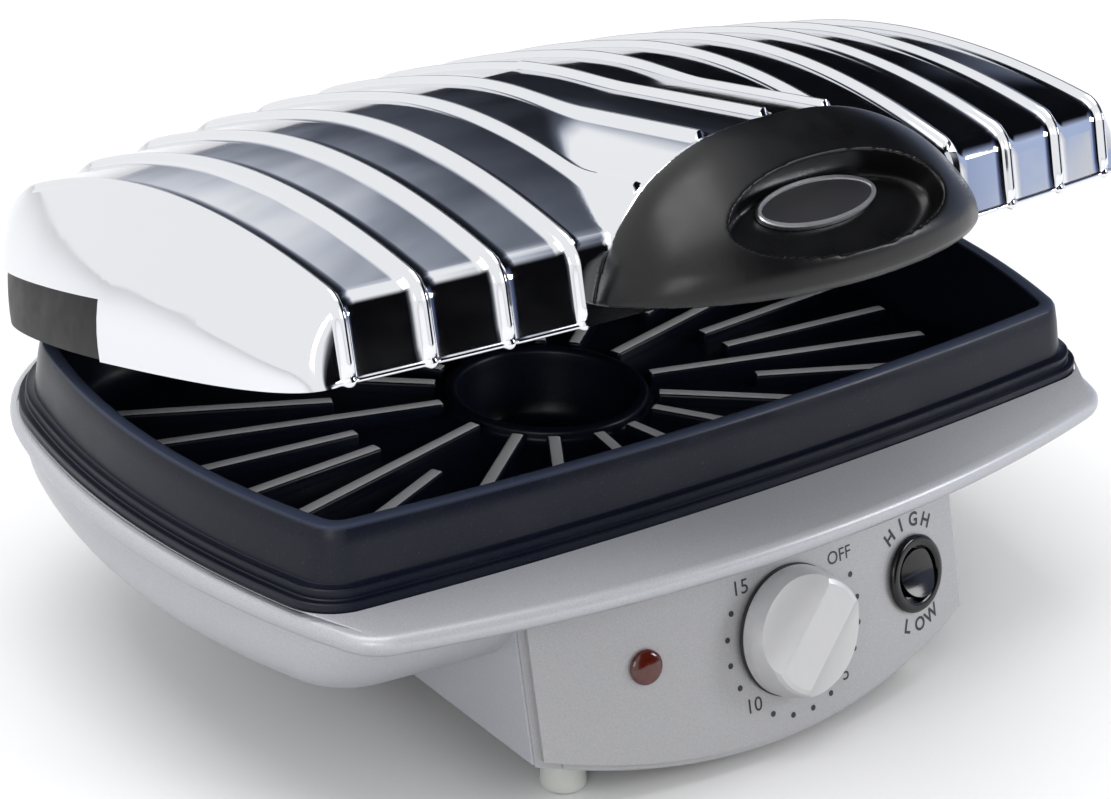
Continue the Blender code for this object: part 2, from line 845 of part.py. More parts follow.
def make_bottom_cover():
    """The flat cover under the pedestal, with air slots and its four screws."""
    inset = base_wall + cover_clearance
    low = pedestal_ring(foot_height, panel_thickness + 2 * cover_clearance, inset)
    high = [(x, y, foot_height + cover_thickness) for x, y, _ in low]
    cover = place("bottom_cover", loft("bottom_cover", [low, high]), dark_plastic)
    for side in (-1, 1):
        for index in range(vent_count):
            y = (index - (vent_count - 1) / 2) * vent_pitch
            x = side * vent_length
            name = f"vent_{'left' if side < 0 else 'right'}_{index + 1}"
            slot = box(name, (x - vent_length / 2, y - vent_width / 2, foot_height - cut_overrun),
                       (x + vent_length / 2, y + vent_width / 2, foot_height + cut_overrun))
            cut(cover, place(name, slot))
    profile = [
        (0, -seat_gap - screw_head_height),
        (screw_head_radius * 0.8, -seat_gap - screw_head_height),
        (screw_head_radius, -seat_gap - screw_head_height / 2),
        (screw_head_radius, -seat_gap),
        (screw_radius, -seat_gap),
        (screw_radius, screw_length),
        (0, screw_length),
    ]
    for index, (x, y) in enumerate(boss_places()):
        shift = Matrix.Translation((x, y, foot_height))
        name = f"cover_hole_{index + 1}"
        hole = cylinder(name, screw_radius + screw_hole_clearance, -cut_overrun, cut_overrun, small_turn_steps)
        cut(cover, place(name, hole, None, shift))
        screw_mesh = turned(f"cover_screw_{index + 1}", profile, screw_steps)
        place(f"cover_screw_{index + 1}", screw_mesh, steel, shift)
    return cover


def make_feet():
    """Four soft feet under the bottom cover."""
    top = foot_height - seat_gap
    profile = [
        (0, 0),
        (foot_radius - foot_edge_round, 0),
        (foot_radius, foot_edge_round),
        (foot_top_radius, top),
        (0, top),
    ]
    places = (("front", -foot_front_place), ("rear", foot_rear_place))
    for end, y in places:
        for side, x in (("left", -foot_place_x), ("right", foot_place_x)):
            name = f"foot_{end}_{side}"
            place(name, turned(name, profile, small_turn_steps), clear_rubber, Matrix.Translation((x, y, 0)))


def make_timer():
    """The clockwork timer behind the panel, its shaft and its knob."""
    frame = panel_frame(dial_offset, control_height)
    back = -panel_thickness - seat_gap - panel_bow * (timer_width / 2 / pedestal_half_width) ** 2
    low = (-timer_width / 2, -timer_height / 2, back - timer_depth)
    high = (timer_width / 2, timer_height / 2, back)
    body = place("timer_body", box("timer_body", low, high), pale_plastic, frame)
    rounded(body, timer_edge_round)
    bell = [
        (0, back - timer_depth - bell_height),
        (bell_radius * 0.7, back - timer_depth - bell_height * 0.8),
        (bell_radius, back - timer_depth),
        (bell_radius, back - timer_depth + timer_edge_round),
        (0, back - timer_depth + timer_edge_round),
    ]
    join(body, place("bell", turned("bell", bell), None, frame))
    bore = cylinder("timer_bore", shaft_radius + shaft_clearance, back - timer_bore_depth, back + cut_overrun,
                    small_turn_steps)
    cut(body, place("timer_bore", bore, None, frame))

    turn = frame @ Matrix.Rotation(-off_angle, 4, "Z")
    axis = bpy.data.objects.new("timer_axis", None)
    parts.objects.link(axis)
    axis.matrix_world = turn
    profile = [
        (0, knob_gap),
        (knob_radius - knob_edge_round / 2, knob_gap),
        (knob_radius, knob_gap + knob_edge_round / 2),
        (knob_radius, knob_skirt_height),
        (knob_top_radius + knob_edge_round / 3, knob_height - knob_edge_round),
        (knob_top_radius - knob_edge_round / 3, knob_height - knob_edge_round / 4),
        (knob_top_radius - knob_edge_round, knob_height),
        (0, knob_height),
    ]
    knob = place("timer_knob", turned("timer_knob", profile, knob_steps), knob_plastic, None, axis)
    for side in (-1, 1):
        name = f"flank_{'left' if side < 0 else 'right'}"
        centre_height = knob_height - knob_flank_depth + knob_flank_radius
        reach = sqrt(knob_flank_radius ** 2 - (knob_flank_radius - knob_flank_depth) ** 2)
        across = side * (knob_grip_half_width + reach)
        flank = Matrix.Translation((across, 0, centre_height)) @ Matrix.Rotation(pi / 2, 4, "X")
        cutter = cylinder(name, knob_flank_radius, -2 * knob_radius, 2 * knob_radius, knob_steps)
        cut(knob, place(name, cutter, None, flank, axis))
    socket = cylinder("knob_bore", shaft_radius + shaft_clearance, -cut_overrun, knob_bore_depth, small_turn_steps)
    cut(knob, place("knob_bore", socket, None, None, axis))
    shaft = cylinder("timer_shaft", shaft_radius, back - timer_bore_depth + seat_gap, knob_bore_depth - seat_gap,
                     small_turn_steps)
    place("timer_shaft", shaft, steel, None, axis)


def make_lamp():
    """The round indicator lens in the panel and the lamp body behind it."""
    frame = panel_frame(-lamp_offset, lamp_height)
    profile = [
        (0, -lamp_stem_length),
        (lamp_stem_radius, -lamp_stem_length),
        (lamp_stem_radius, seat_gap),
        (lamp_radius, seat_gap),
        (lamp_radius, lamp_dome / 3),
        (lamp_radius * 0.75, lamp_dome * 0.8),
        (0, lamp_dome),
    ]
    place("lamp_lens", turned("lamp_lens", profile, small_turn_steps), red_lens, frame)
    face = -panel_thickness - 2 * seat_gap
    body = cylinder("lamp_body", lamp_body_radius, face - lamp_body_length, face, small_turn_steps)
    holder = place("lamp_body", body, dark_plastic, frame)
    bore = cylinder("lamp_bore", lamp_stem_radius + seat_gap, -lamp_stem_length - seat_gap, cut_overrun, small_turn_steps)
    cut(holder, place("lamp_bore", bore, None, frame))


def make_switch():
    """The round rocker switch: a body with a well, and a rocker on a cross axis."""
    frame = panel_frame(switch_offset, control_height)
    face = switch_bezel_height + seat_gap
    profile = [
        (0, -switch_barrel_length),
        (switch_barrel_radius, -switch_barrel_length),
        (switch_barrel_radius, seat_gap),
        (switch_bezel_radius, seat_gap),
        (switch_bezel_radius, face * 0.6),
        (switch_bezel_radius * 0.92, face),
        (0, face),
    ]
    body = place("switch_body", turned("switch_body", profile), black_gloss, frame)
    well = cylinder("switch_well", switch_well_radius, face - switch_well_depth, face + cut_overrun)
    cut(body, place("switch_well", well, None, frame))

    axis = bpy.data.objects.new("rocker_axis", None)
    parts.objects.link(axis)
    axis.matrix_world = frame @ Matrix.Translation((0, 0, -rocker_pivot_depth)) @ Matrix.Rotation(-rocker_tilt, 4, "X")
    blank = cylinder("rocker", rocker_radius, -rocker_drop, rocker_rise)
    rocker = place("rocker", blank, black_gloss, None, axis)
    dish_radius = bow_radius(rocker_radius, rocker_dish)
    dish = Matrix.Translation((0, 0, rocker_rise - rocker_dish + dish_radius)) @ Matrix.Rotation(pi / 2, 4, "Y")
    cutter = cylinder("rocker_dish", dish_radius, -2 * rocker_radius, 2 * rocker_radius, 2 * knob_steps)
    cut(rocker, place("rocker_dish", cutter, None, dish, axis))


def make_inner_parts():
    """Heating element, reflector, thermostat, terminal block and cord gland."""
    level = plate_underside - seat_gap - element_radius
    points = []
    count = element_steps
    start = asin(element_terminal_space / element_half_width)
    for index in range(count + 1):
        angle = pi / 2 + start + (2 * pi - 2 * start) * index / count
        points.append((element_half_width * cos(angle), element_half_depth * sin(angle), level))
    for end, side in ((0, -1), (-1, 1)):
        x = side * (element_terminal_space - element_bend)
        y = points[end][1]
        leg = [(x, y, level - element_bend), (x, y, level - element_drop)]
        points = leg[::-1] + points if end == 0 else points + leg
    curve = bpy.data.curves.new("heating_element", "CURVE")
    curve.dimensions = "3D"
    curve.bevel_depth = element_radius
    curve.bevel_resolution = 0
    curve.use_fill_caps = True
    spline = curve.splines.new("POLY")
    spline.points.add(len(points) - 1)
    for control, point in zip(spline.points, points):
        control.co = (*point, 1.0)
    path = bpy.data.objects.new("element_path", curve)
    cutters.objects.link(path)
    mesh = bpy.data.meshes.new_from_object(path.evaluated_get(bpy.context.evaluated_depsgraph_get()))
    bpy.data.objects.remove(path, do_unlink=True)
    bm = bmesh.new()
    bm.from_mesh(mesh)
    place("heating_element", finish_mesh("heating_element", bm), steel)

    low = tray_floor_level + base_wall + seat_gap
    rings = []
    for outset, height in ((0, 0), (reflector_flare, reflector_height - reflector_thickness)):
        rings.append(ring(reflector_outline(outset), low + height))
    rings.append(ring(reflector_outline(reflector_flare + reflector_thickness), low + reflector_height))
    rings.append(ring(reflector_outline(reflector_flare - reflector_thickness), low + reflector_height))
    rings.append(ring(reflector_outline(-reflector_thickness), low + reflector_thickness))
    place("reflector_pan", loft("reflector_pan", rings), aluminium)

    top = plate_underside - seat_gap
    profile = [
        (0, top - thermostat_cap_height - thermostat_body_height),
        (thermostat_body_radius, top - thermostat_cap_height - thermostat_body_height),
        (thermostat_body_radius, top - thermostat_cap_height),
        (thermostat_radius, top - thermostat_cap_height),
        (thermostat_radius, top),
        (0, top),
    ]
    shift = Matrix.Translation((thermostat_offset, 0, 0))
    place("thermostat", turned("thermostat", profile, small_turn_steps), dark_plastic, shift)

    roof = tray_floor_level - seat_gap
    block = box("terminal_block", (-terminal_length / 2, terminal_place - terminal_width / 2, roof - terminal_depth),
                (terminal_length / 2, terminal_place + terminal_width / 2, roof))
    terminal = place("terminal_block", block, pale_plastic)
    for index in (-1, 0, 1):
        name = f"terminal_hole_{index + 2}"
        turn = Matrix.Translation((index * terminal_pitch, terminal_place, roof - terminal_depth / 2))
        turn = turn @ Matrix.Rotation(pi / 2, 4, "X")
        hole = cylinder(name, terminal_hole_radius, -terminal_width, terminal_width, small_turn_steps)
        cut(terminal, place(name, hole, None, turn))

    profile = [
        (gland_bore_radius, -gland_reach),
        (gland_radius * 0.8, -gland_reach),
        (gland_radius, -gland_reach + gland_flange / 2),
        (gland_radius, -seat_gap),
        (gland_neck_radius, -seat_gap),
        (gland_neck_radius, base_wall + gland_flange),
        (gland_bore_radius, base_wall + gland_flange),
        (gland_bore_radius, -gland_reach),
    ]
    place("cord_gland", turned("cord_gland", profile, small_turn_steps), dark_plastic, gland_matrix())


def reflector_outline(outset):
    """The outline of the reflector pan in the tray."""
    return bowed_outline(reflector_half_width + outset, reflector_half_depth + outset, reflector_half_depth + outset,
                         plate_side_bow / 2, plate_front_bow, reflector_corner)


def lid_front_at(x, inset=0):
    """Where the lid's front wall lies at a place across it."""
    return lid_front_bow * (x / lid_half_width) ** 2 + inset


def lid_rear_at(x, inset=0):
    """Where the lid's rear wall lies at a place across it."""
    return lid_length - lid_rear_bow * (x / lid_half_width) ** 2 - inset


def corner_drop(distance, run, drop):
    """How far a rounded edge lies below its sharp corner, at a distance from the wall."""
    if distance >= run:
        return 0
    return drop * (1 - sqrt(max(1 - (1 - distance / run) ** 2, 0)))


def hood_arch(x, inset=0):
    """Height of the arch at the hood's front, below zero outside it."""
    share = abs(x) / (hood_half_width - inset)
    if share >= 1:
        return -hood_root
    return -hood_root + (hood_height + hood_root - inset) * (1 - share ** hood_power) ** (1 / hood_power)


def lid_height(x, v, inset=0, hood=True):
    """Height of the lid's outer face over its lower edge, with an inset for an inner skin."""
    run = max(v - lid_front_at(x, inset), 0)
    left = max(lid_rear_at(x, inset) - v, 0)
    crown = lid_crown_height - lid_crown_fall * (x / rib_end_x) ** 2
    if run < lid_crown_place:
        height = crown - (crown - lid_front_height) * ((lid_crown_place - run) / lid_crown_place) ** 2
    else:
        tail = lid_rear_at(x, inset) - lid_front_at(x, inset) - lid_crown_place
        height = crown - lid_rear_fall * ((run - lid_crown_place) / tail) ** 2
    height -= corner_drop(run, lid_front_round, lid_front_round) + inset
    if hood and run < lid_crown_place:
        raised = hood_arch(x, inset) + hood_slope * run - corner_drop(run, hood_round, hood_round)
        height = max(height, raised)
    return height - corner_drop(left, lid_rear_run, lid_rear_drop)


def lid_profile(x, inset, foot, bead=0, hood=True):
    """Points (v, height) over the lid at a place across it, from the front edge to the rear edge."""
    front = lid_front_at(x, inset)
    rear = lid_rear_at(x, inset)
    rear_bead = bead
    if abs(x) < hood_half_width + handle_overlap:
        bead = 0
    points = [(front - bead, foot)]
    if rear_bead:
        points += [(front - bead, lid_bead_height), (front, lid_bead_height + rear_bead)]
    for share in (0, 0.08, 0.3, 1) if hood else (0, 0.3, 1):
        v = front + share * lid_front_round
        points.append((v, lid_height(x, v, inset, hood)))
    begin = front + lid_front_round
    finish = rear - lid_rear_run
    for share in (0.06, 0.14, 0.25, 0.38, 0.54, 0.76) if hood else (0.2, 0.5, 0.75):
        v = begin + share * (finish - begin)
        points.append((v, lid_height(x, v, inset, hood)))
    for share in (1, 0.58, 0.24, 0) if hood else (1, 0.3, 0):
        v = rear - share * lid_rear_run
        points.append((v, lid_height(x, v, inset, hood)))
    if rear_bead:
        points += [(rear, lid_bead_height + rear_bead), (rear + rear_bead, lid_bead_height)]
    points.append((rear + rear_bead, foot))
    return points


def lift_profile(points, lift, x):
    """Move a profile outwards by a rib's height, but not on the arch that the handle covers."""
    lifted = []
    for index, (v, height) in enumerate(points):
        before = points[max(index - 1, 0)]
        after = points[min(index + 1, len(points) - 1)]
        along = Vector((after[0] - before[0], after[1] - before[1]))
        out = Vector((-along.y, along.x)).normalized() if along.length > 0 else Vector((0, 1))
        under_handle = abs(x) < hood_half_width + handle_overlap and v < lid_front_at(x) + lid_front_round / 2
        size = 0 if under_handle else lift
        lifted.append((v + out.x * size, height + out.y * size))
    return lifted


def lid_point(x, v, height):
    """A point of the closed lid, measured from its pivot."""
    return (x, v - pivot_v, height - pivot_height)


def end_point(share, end_x, half_width, front, rear):
    """A point of the lid's plan outline round one end, from its front to its rear."""
    angle = share * pi
    middle = (front + rear) / 2
    power = lid_corner_power if share < 0.5 else lid_rear_corner_power
    reach = max(sin(angle), 0) ** (2 / power)
    turn = abs(cos(angle)) ** (2 / power)
    v = middle - (middle - front) * turn if share < 0.5 else middle + (rear - middle) * turn
    return end_x + (half_width - end_x) * reach, v


def lid_dome(name, columns, inset, foot, bead=0, hood=True):
    """The lid's skin as a closed dome: columns across it, a rounded end at each side and a flat foot."""
    bm = bmesh.new()
    grid = []
    end_x = rib_end_x - inset
    for x, lift in columns:
        profile = lid_profile(x, inset, foot, bead, hood)
        if lift:
            profile = lift_profile(profile, lift, x)
        grid.append([(x, v, height) for v, height in profile])
    base_level = max(foot, 0) / lid_height(end_x, lid_crown_place, inset)
    steps = [(level, None) for level in (end_level_shares if hood else end_level_shares[1::2]) if level > base_level]
    steps += [(0, 0)] * (foot < 0) + [(base_level, foot)]
    for side in (1, -1):
        edge = grid[-1] if side > 0 else grid[0]
        front = edge[0][1]
        rear = edge[-1][1]
        for level, floor in steps:
            spread = 1 - level ** lid_end_power
            column = []
            for index, (x, v, height) in enumerate(edge):
                out_x, out_v = end_point(index / (len(edge) - 1), end_x, lid_half_width - inset, front, rear)
                lowered = floor if floor is not None else max(height * level, foot)
                lowered = foot if height <= foot else lowered
                column.append((side * (end_x + (out_x - end_x) * spread), v + (out_v - v) * spread, lowered))
            if side > 0:
                grid.append(column)
            else:
                grid.insert(0, column)
    rows = [[bm.verts.new(lid_point(*point)) for point in column] for column in grid]
    for left, right in zip(rows, rows[1:]):
        for index in range(len(left) - 1):
            bm.faces.new((left[index], right[index], right[index + 1], left[index + 1]))
    bmesh.ops.remove_doubles(bm, verts=bm.verts, dist=weld_distance)
    rim = [edge for edge in bm.edges if edge.is_boundary]
    bmesh.ops.contextual_create(bm, geom=rim)
    bmesh.ops.triangulate(bm, faces=[face for face in bm.faces if len(face.verts) == 4])
    return finish_mesh(name, bm)


def arch_columns(inset):
    """Places across the lid where the hood's arch comes down."""
    return [(side * (hood_half_width - inset) * share, 0) for side in (-1, 1) for share in hood_column_shares]


def ribbed_columns():
    """Places across the lid: four to each raised rib, and more where the hood's arch comes down."""
    columns = []
    for index in range(-lid_ribs_each_side, lid_ribs_each_side + 1):
        middle = index * lid_rib_pitch
        for share, lift in ((-0.5, 0), (-0.2, lid_rib_height), (0.2, lid_rib_height), (0.5, 0)):
            columns.append((middle + share * lid_rib_width, lift))
    return sorted(columns + arch_columns(0))


def plain_columns(inset, hood=True):
    """Places across an inner skin of the lid, at both feet of each rib that crosses the hood."""
    end_x = rib_end_x - inset
    if not hood:
        return [(end_x * share, 0) for share in (-1, -0.8, -0.3, 0, 0.3, 0.8, 1)]
    columns = [(-end_x, 0), (end_x, 0)]
    for index in range(-lid_ribs_each_side + 1, lid_ribs_each_side):
        middle = index * lid_rib_pitch
        if abs(middle) < hood_half_width:
            columns += [(middle + share * lid_rib_width, 0) for share in (-0.5, 0.5)]
        elif index % 2:
            columns.append((middle, 0))
    return sorted(columns + arch_columns(inset))


def make_lid(axis):
    """The chrome lid with its raised ribs and hood, its frame, its liner and its notch for the frame."""
    lid = place("lid_shell", lid_dome("lid_shell", ribbed_columns(), 0, 0, lid_bead), chrome, None, axis)
    hollow = lid_dome("lid_hollow", plain_columns(lid_wall), lid_wall, -cut_overrun)
    cut(lid, place("lid_hollow", hollow, None, None, axis))
    wide = 2 * lid_half_width
    notch_low = lid_point(-wide, frame_notch_front, -cut_overrun)
    notch_high = lid_point(wide, 2 * lid_length, frame_notch_height)
    cut(lid, place("frame_notch", box("frame_notch", notch_low, notch_high), None, None, axis))
    for side in (-1, 1):
        name = f"handle_hole_{'left' if side < 0 else 'right'}"
        hole = cylinder(name, handle_screw_radius + screw_hole_clearance, -3 * lid_wall, 3 * lid_wall, small_turn_steps)
        cut(lid, place(name, hole, None, handle_screw_matrix(side), axis))

    outer = lid_wall + frame_gap
    frame_mesh = lid_dome("lid_frame", plain_columns(outer), outer, -cut_overrun)
    frame = place("lid_frame", frame_mesh, black_satin, None, axis)
    inner = outer + frame_thickness
    frame_hollow = lid_dome("frame_hollow", plain_columns(inner), inner, -2 * cut_overrun)
    cut(frame, place("frame_hollow", frame_hollow, None, None, axis))
    keep_low = lid_point(-wide, frame_front, seat_gap)
    keep_high = lid_point(wide, 2 * lid_length, frame_height)
    keep = place("frame_band", box("frame_band", keep_low, keep_high), None, None, axis)
    cut(frame, keep, "INTERSECT")

    flange = inner + liner_flange_gap
    liner_mesh = lid_dome("lid_liner", plain_columns(liner_inset, False), liner_inset, -cut_overrun, 0, False)
    liner = place("lid_liner", liner_mesh, liner_steel, None, axis)
    foot_low = lid_point(-wide, -wide, -2 * cut_overrun)
    foot_high = lid_point(wide, 2 * lid_length, liner_flange_height + liner_thickness / 2)
    cut(liner, place("liner_foot", box("liner_foot", foot_low, foot_high), None, None, axis))
    flange_mesh = lid_dome("liner_flange", plain_columns(flange, False), flange, -cut_overrun, 0, False)
    flange_band = place("liner_flange", flange_mesh, None, None, axis)
    slab_low = lid_point(-wide, -wide, liner_flange_height)
    slab_high = lid_point(wide, 2 * lid_length, liner_flange_height + liner_thickness)
    cut(flange_band, place("flange_slab", box("flange_slab", slab_low, slab_high), None, None, axis), "INTERSECT")
    join(liner, flange_band)
    deep = liner_inset + liner_thickness
    liner_hollow = lid_dome("liner_hollow", plain_columns(deep, False), deep, -2 * cut_overrun, 0, False)
    cut(liner, place("liner_hollow", liner_hollow, None, None, axis))


def handle_screw_matrix(side):
    """Frame of a handle screw in the lid's front wall, its Z pointing out of the lid's front."""
    x = side * handle_screw_offset
    middle = Vector(lid_point(x, lid_front_at(x), handle_screw_height))
    return Matrix.Translation(middle) @ Matrix.Rotation(pi / 2, 4, "X")


def handle_half_width(height, outset):
    """Half the width of the handle's arch at a height."""
    share = (height + hood_root) / (hood_height + hood_root + outset)
    return (hood_half_width + outset) * (1 - min(share, 1) ** hood_power) ** (1 / hood_power)


def handle_depth(height, top, reach):
    """How far the handle stands out in front of the lid at a height."""
    if height < handle_nose_height:
        return reach - handle_lip_setback * ((handle_nose_height - height) / handle_nose_height) ** 2
    share = (height - handle_nose_height) / (top - handle_nose_height)
    return reach * (1 - min(share, 1) ** handle_profile_power) ** (1 / handle_profile_power)


def handle_foot(x):
    """Height of the handle's lower edge, which rises towards its ends."""
    return handle_foot_height + handle_foot_rise * (x / hood_half_width) ** 2


def handle_dome(name, inset, back, foot):
    """The handle's bulging form as a closed solid: outlines stacked from its foot to the arch's top."""
    outset = handle_overlap - inset
    top = hood_height + outset
    levels = [0, 0.14, 0.28, 0.44, 0.60, 0.74, 0.86, 0.94, 0.985]
    stations = [(share, 0) for share in levels]
    if foot:
        stations.insert(0, (0, foot))
    rings = []
    for share, drop in stations:
        level = top * share
        fade = (1 - share) ** 2
        half = handle_half_width(level + (handle_foot_height + handle_foot_rise) * fade, outset)
        depth = handle_depth(level, top, handle_reach - inset)
        front = []
        behind = []
        for index in range(handle_steps + 1):
            angle = pi * index / handle_steps
            x = -half * (1 if cos(angle) > 0 else -1) * abs(cos(angle)) ** (2 / handle_plan_power)
            stand = depth * sin(angle) ** (2 / handle_plan_power)
            face = lid_front_at(x) - seat_gap
            height = level + handle_foot(x) * fade + drop
            front.append(lid_point(x, face - stand, height))
            behind.insert(0, lid_point(x, face + back, height))
        rings.append(front + (behind if back else behind[1:-1]))
    return loft(name, rings)


def make_handle(axis):
    """The handle: a hollow cover with an oval recess, its back plate, a bare badge and two screws."""
    cover = place("handle_cover", handle_dome("handle_cover", 0, 0, 0), black_satin, None, axis)
    tilt = Matrix.Translation(lid_point(0, -recess_place, recess_height)) @ Matrix.Rotation(recess_tilt, 4, "X")
    pocket_depth = recess_depth + badge_thickness + seat_gap
    socket = oval(recess_half_width + recess_wall, recess_half_height + recess_wall, "recess_block",
                  -pocket_depth - recess_wall, handle_reach)
    hollow = place("handle_hollow", handle_dome("handle_hollow", handle_wall, cut_overrun, -3 * cut_overrun), None, None, axis)
    cut(hollow, place("recess_block", socket, None, tilt, axis))
    cut(cover, hollow)
    pocket = oval(recess_half_width, recess_half_height, "recess_pocket", -pocket_depth, handle_reach)
    cut(cover, place("recess_pocket", pocket, None, tilt, axis))

    seat = tilt @ Matrix.Translation((0, badge_lift, -recess_depth))
    badge = place("badge_plate", oval(badge_half_width, badge_half_height, "badge_plate", -badge_thickness, 0),
                  chrome, seat, axis)
    field = oval(badge_half_width - badge_rim, badge_half_height - badge_rim, "badge_field",
                 -badge_field_depth, cut_overrun)
    cut(badge, place("badge_field", field, None, seat, axis))

    outset = handle_overlap - handle_wall - handle_back_gap
    near = 2 * seat_gap
    far = near + handle_back_thickness
    rings = []
    for index in range(handle_steps - 1):
        x = (hood_half_width + outset) * handle_back_share * (2 * index / (handle_steps - 2) - 1)
        top = min(hood_arch(x, -outset), hood_height)
        face = lid_front_at(x)
        low = handle_foot(x) + seat_gap
        corners = ((face - far, low), (face - near, low), (face - near, top), (face - far, top))
        rings.append([lid_point(x, v, height) for v, height in corners])
    back = place("handle_back", loft("handle_back", rings), dark_plastic, None, axis)
    cut(back, place("recess_clearance", oval(recess_half_width + recess_wall + seat_gap,
                                             recess_half_height + recess_wall + seat_gap, "recess_clearance",
                                             -pocket_depth - recess_wall - seat_gap, handle_reach), None, tilt, axis))
    profile = [
        (0, -lid_wall - seat_gap - handle_screw_head_height),
        (handle_screw_head_radius * 0.8, -lid_wall - seat_gap - handle_screw_head_height),
        (handle_screw_head_radius, -lid_wall - seat_gap - handle_screw_head_height / 2),
        (handle_screw_head_radius, -lid_wall - seat_gap),
        (handle_screw_radius, -lid_wall - seat_gap),
        (handle_screw_radius, handle_screw_length - lid_wall),
        (0, handle_screw_length - lid_wall),
    ]
    for side in (-1, 1):
        name = f"handle_screw_{'left' if side < 0 else 'right'}"
        hole = cylinder(name + "_hole", handle_screw_radius + screw_hole_clearance, -cut_overrun, 2 * cut_overrun,
                        small_turn_steps)
        cut(back, place(name + "_hole", hole, None, handle_screw_matrix(side), axis))
        place(name, turned(name, profile, screw_steps), steel, handle_screw_matrix(side), axis)


def oval(half_width, half_height, name, low, high):
    """An oval prism along Z."""
    outline = [(half_width * cos(2 * pi * index / turn_steps), half_height * sin(2 * pi * index / turn_steps))
               for index in range(turn_steps)]
    return prism(name, outline, low, high)


def slab_across(name, outline, low_x, high_x):
    """A flat plate across X from an outline of (y, z) points."""
    return loft(name, [[(x, y, z) for y, z in outline] for x in (low_x, high_x)])


def knuckle_outline(root):
    """A plate that ends in a round knuckle at the origin: root points first, then the round."""
    start = atan2(root[-1][1], root[-1][0])
    finish = atan2(root[0][1], root[0][0])
    reach = hypot(*root[-1])
    other = hypot(*root[0])
    first = start + (pi / 2 - asin(min(knuckle_radius / reach, 1)))
    last = finish - (pi / 2 - asin(min(knuckle_radius / other, 1)))
    while last < first:
        last += 2 * pi
    count = 10
    return list(root) + [(knuckle_radius * cos(first + (last - first) * index / count),
                          knuckle_radius * sin(first + (last - first) * index / count)) for index in range(count + 1)]


def make_hinges(axis):
    """A bracket on the ledge, an arm on the lid and a pin through both, at each side of the rear."""
    ledge_top = ledge_level - pivot_z + bracket_sink_gap
    front_root = -bracket_lean - bracket_depth / 2
    bracket_root = [(front_root, ledge_top), (front_root + bracket_depth, ledge_top)]
    arm_low = arm_root_height - pivot_height
    arm_high = arm_low + arm_height
    for side, sign in (("left", -1), ("right", 1)):
        x = sign * hinge_offset
        inner = x - sign * knuckle_width
        outer = x + sign * knuckle_gap
        far = outer + sign * knuckle_width
        bracket = slab_across(f"hinge_bracket_{side}", knuckle_outline(bracket_root), min(inner, x), max(inner, x))
        shift = Matrix.Translation((0, pivot_y, pivot_z))
        bracket = place(f"hinge_bracket_{side}", bracket, silver, shift)
        root_back = hinge_root(x)
        arm_root = [(root_back, arm_high), (root_back, arm_low)]
        arm = slab_across(f"hinge_arm_{side}", knuckle_outline(arm_root), min(outer, far), max(outer, far))
        arm = place(f"hinge_arm_{side}", arm, black_satin, None, axis)
        bore_frame = Matrix.Rotation(pi / 2, 4, "Y")
        length = 2 * knuckle_width + knuckle_gap
        middle = (inner + far) / 2
        bore = cylinder(f"hinge_bore_{side}", pin_radius + pin_clearance, middle - length, middle + length, small_turn_steps)
        bore_object = place(f"hinge_bore_{side}", bore, None, shift @ bore_frame)
        cut(bracket, bore_object)
        arm_bore = place(f"hinge_arm_bore_{side}", bore.copy(), None, bore_frame, axis)
        cut(arm, arm_bore)
        pin_profile = [
            (0, -length / 2),
            (pin_radius, -length / 2),
            (pin_radius, length / 2 + seat_gap),
            (pin_head_radius, length / 2 + seat_gap),
            (pin_head_radius, length / 2 + seat_gap + pin_head_width),
            (0, length / 2 + seat_gap + pin_head_width),
        ]
        pin_turn = Matrix.Translation((middle, 0, 0)) @ Matrix.Rotation(sign * pi / 2, 4, "Y")
        place(f"hinge_pin_{side}", turned(f"hinge_pin_{side}", pin_profile, small_turn_steps), steel, pin_turn, axis)


def hinge_root(x):
    """Where a hinge arm meets the rear face of the lid frame, measured from the pivot."""
    return lid_rear_at(x, lid_wall + frame_gap) + seat_gap - pivot_v


def centre_on_origin():
    """Move the whole grill along Y, so that the origin is under the middle of its box."""
    depsgraph = bpy.context.evaluated_depsgraph_get()
    reaches = []
    for item in parts.objects:
        if item.type == "MESH":
            corners = item.evaluated_get(depsgraph).bound_box
            reaches += [(item.matrix_world @ Vector(corner)).y for corner in corners]
    middle = (min(reaches) + max(reaches)) / 2
    for item in list(parts.objects) + list(cutters.objects):
        if item.parent is None:
            item.location.y -= middle
    bpy.context.view_layer.update()


clear_scene()
parts = new_collection("indoor_grill")
cutters = new_collection("cutters")
silver = material("Silver paint", (0.60, 0.61, 0.63), 0.42, 0.35)
panel_grey = material("Panel paint", (0.42, 0.43, 0.45), 0.48, 0.30)
knob_plastic = material("Knob plastic", (0.66, 0.65, 0.65), 0.38)
coating = material("Non-stick coating", (0.020, 0.024, 0.040), 0.38)
chrome = material("Chrome", (0.80, 0.81, 0.83), 0.08, 1.0)
black_satin = material("Black satin plastic", (0.015, 0.015, 0.016), 0.38)
black_gloss = material("Black gloss plastic", (0.010, 0.010, 0.011), 0.14)
dark_plastic = material("Dark plastic", (0.03, 0.03, 0.03), 0.55)
pale_plastic = material("Pale plastic", (0.62, 0.61, 0.56), 0.50)
clear_rubber = material("Pale soft rubber", (0.62, 0.64, 0.60), 0.45)
red_lens = material("Red lens", (0.18, 0.035, 0.018), 0.20)
steel = material("Steel", (0.50, 0.50, 0.51), 0.32, 1.0)
aluminium = material("Aluminium sheet", (0.62, 0.62, 0.63), 0.34, 1.0)
liner_steel = material("Coated steel liner", (0.05, 0.05, 0.055), 0.45, 0.6)

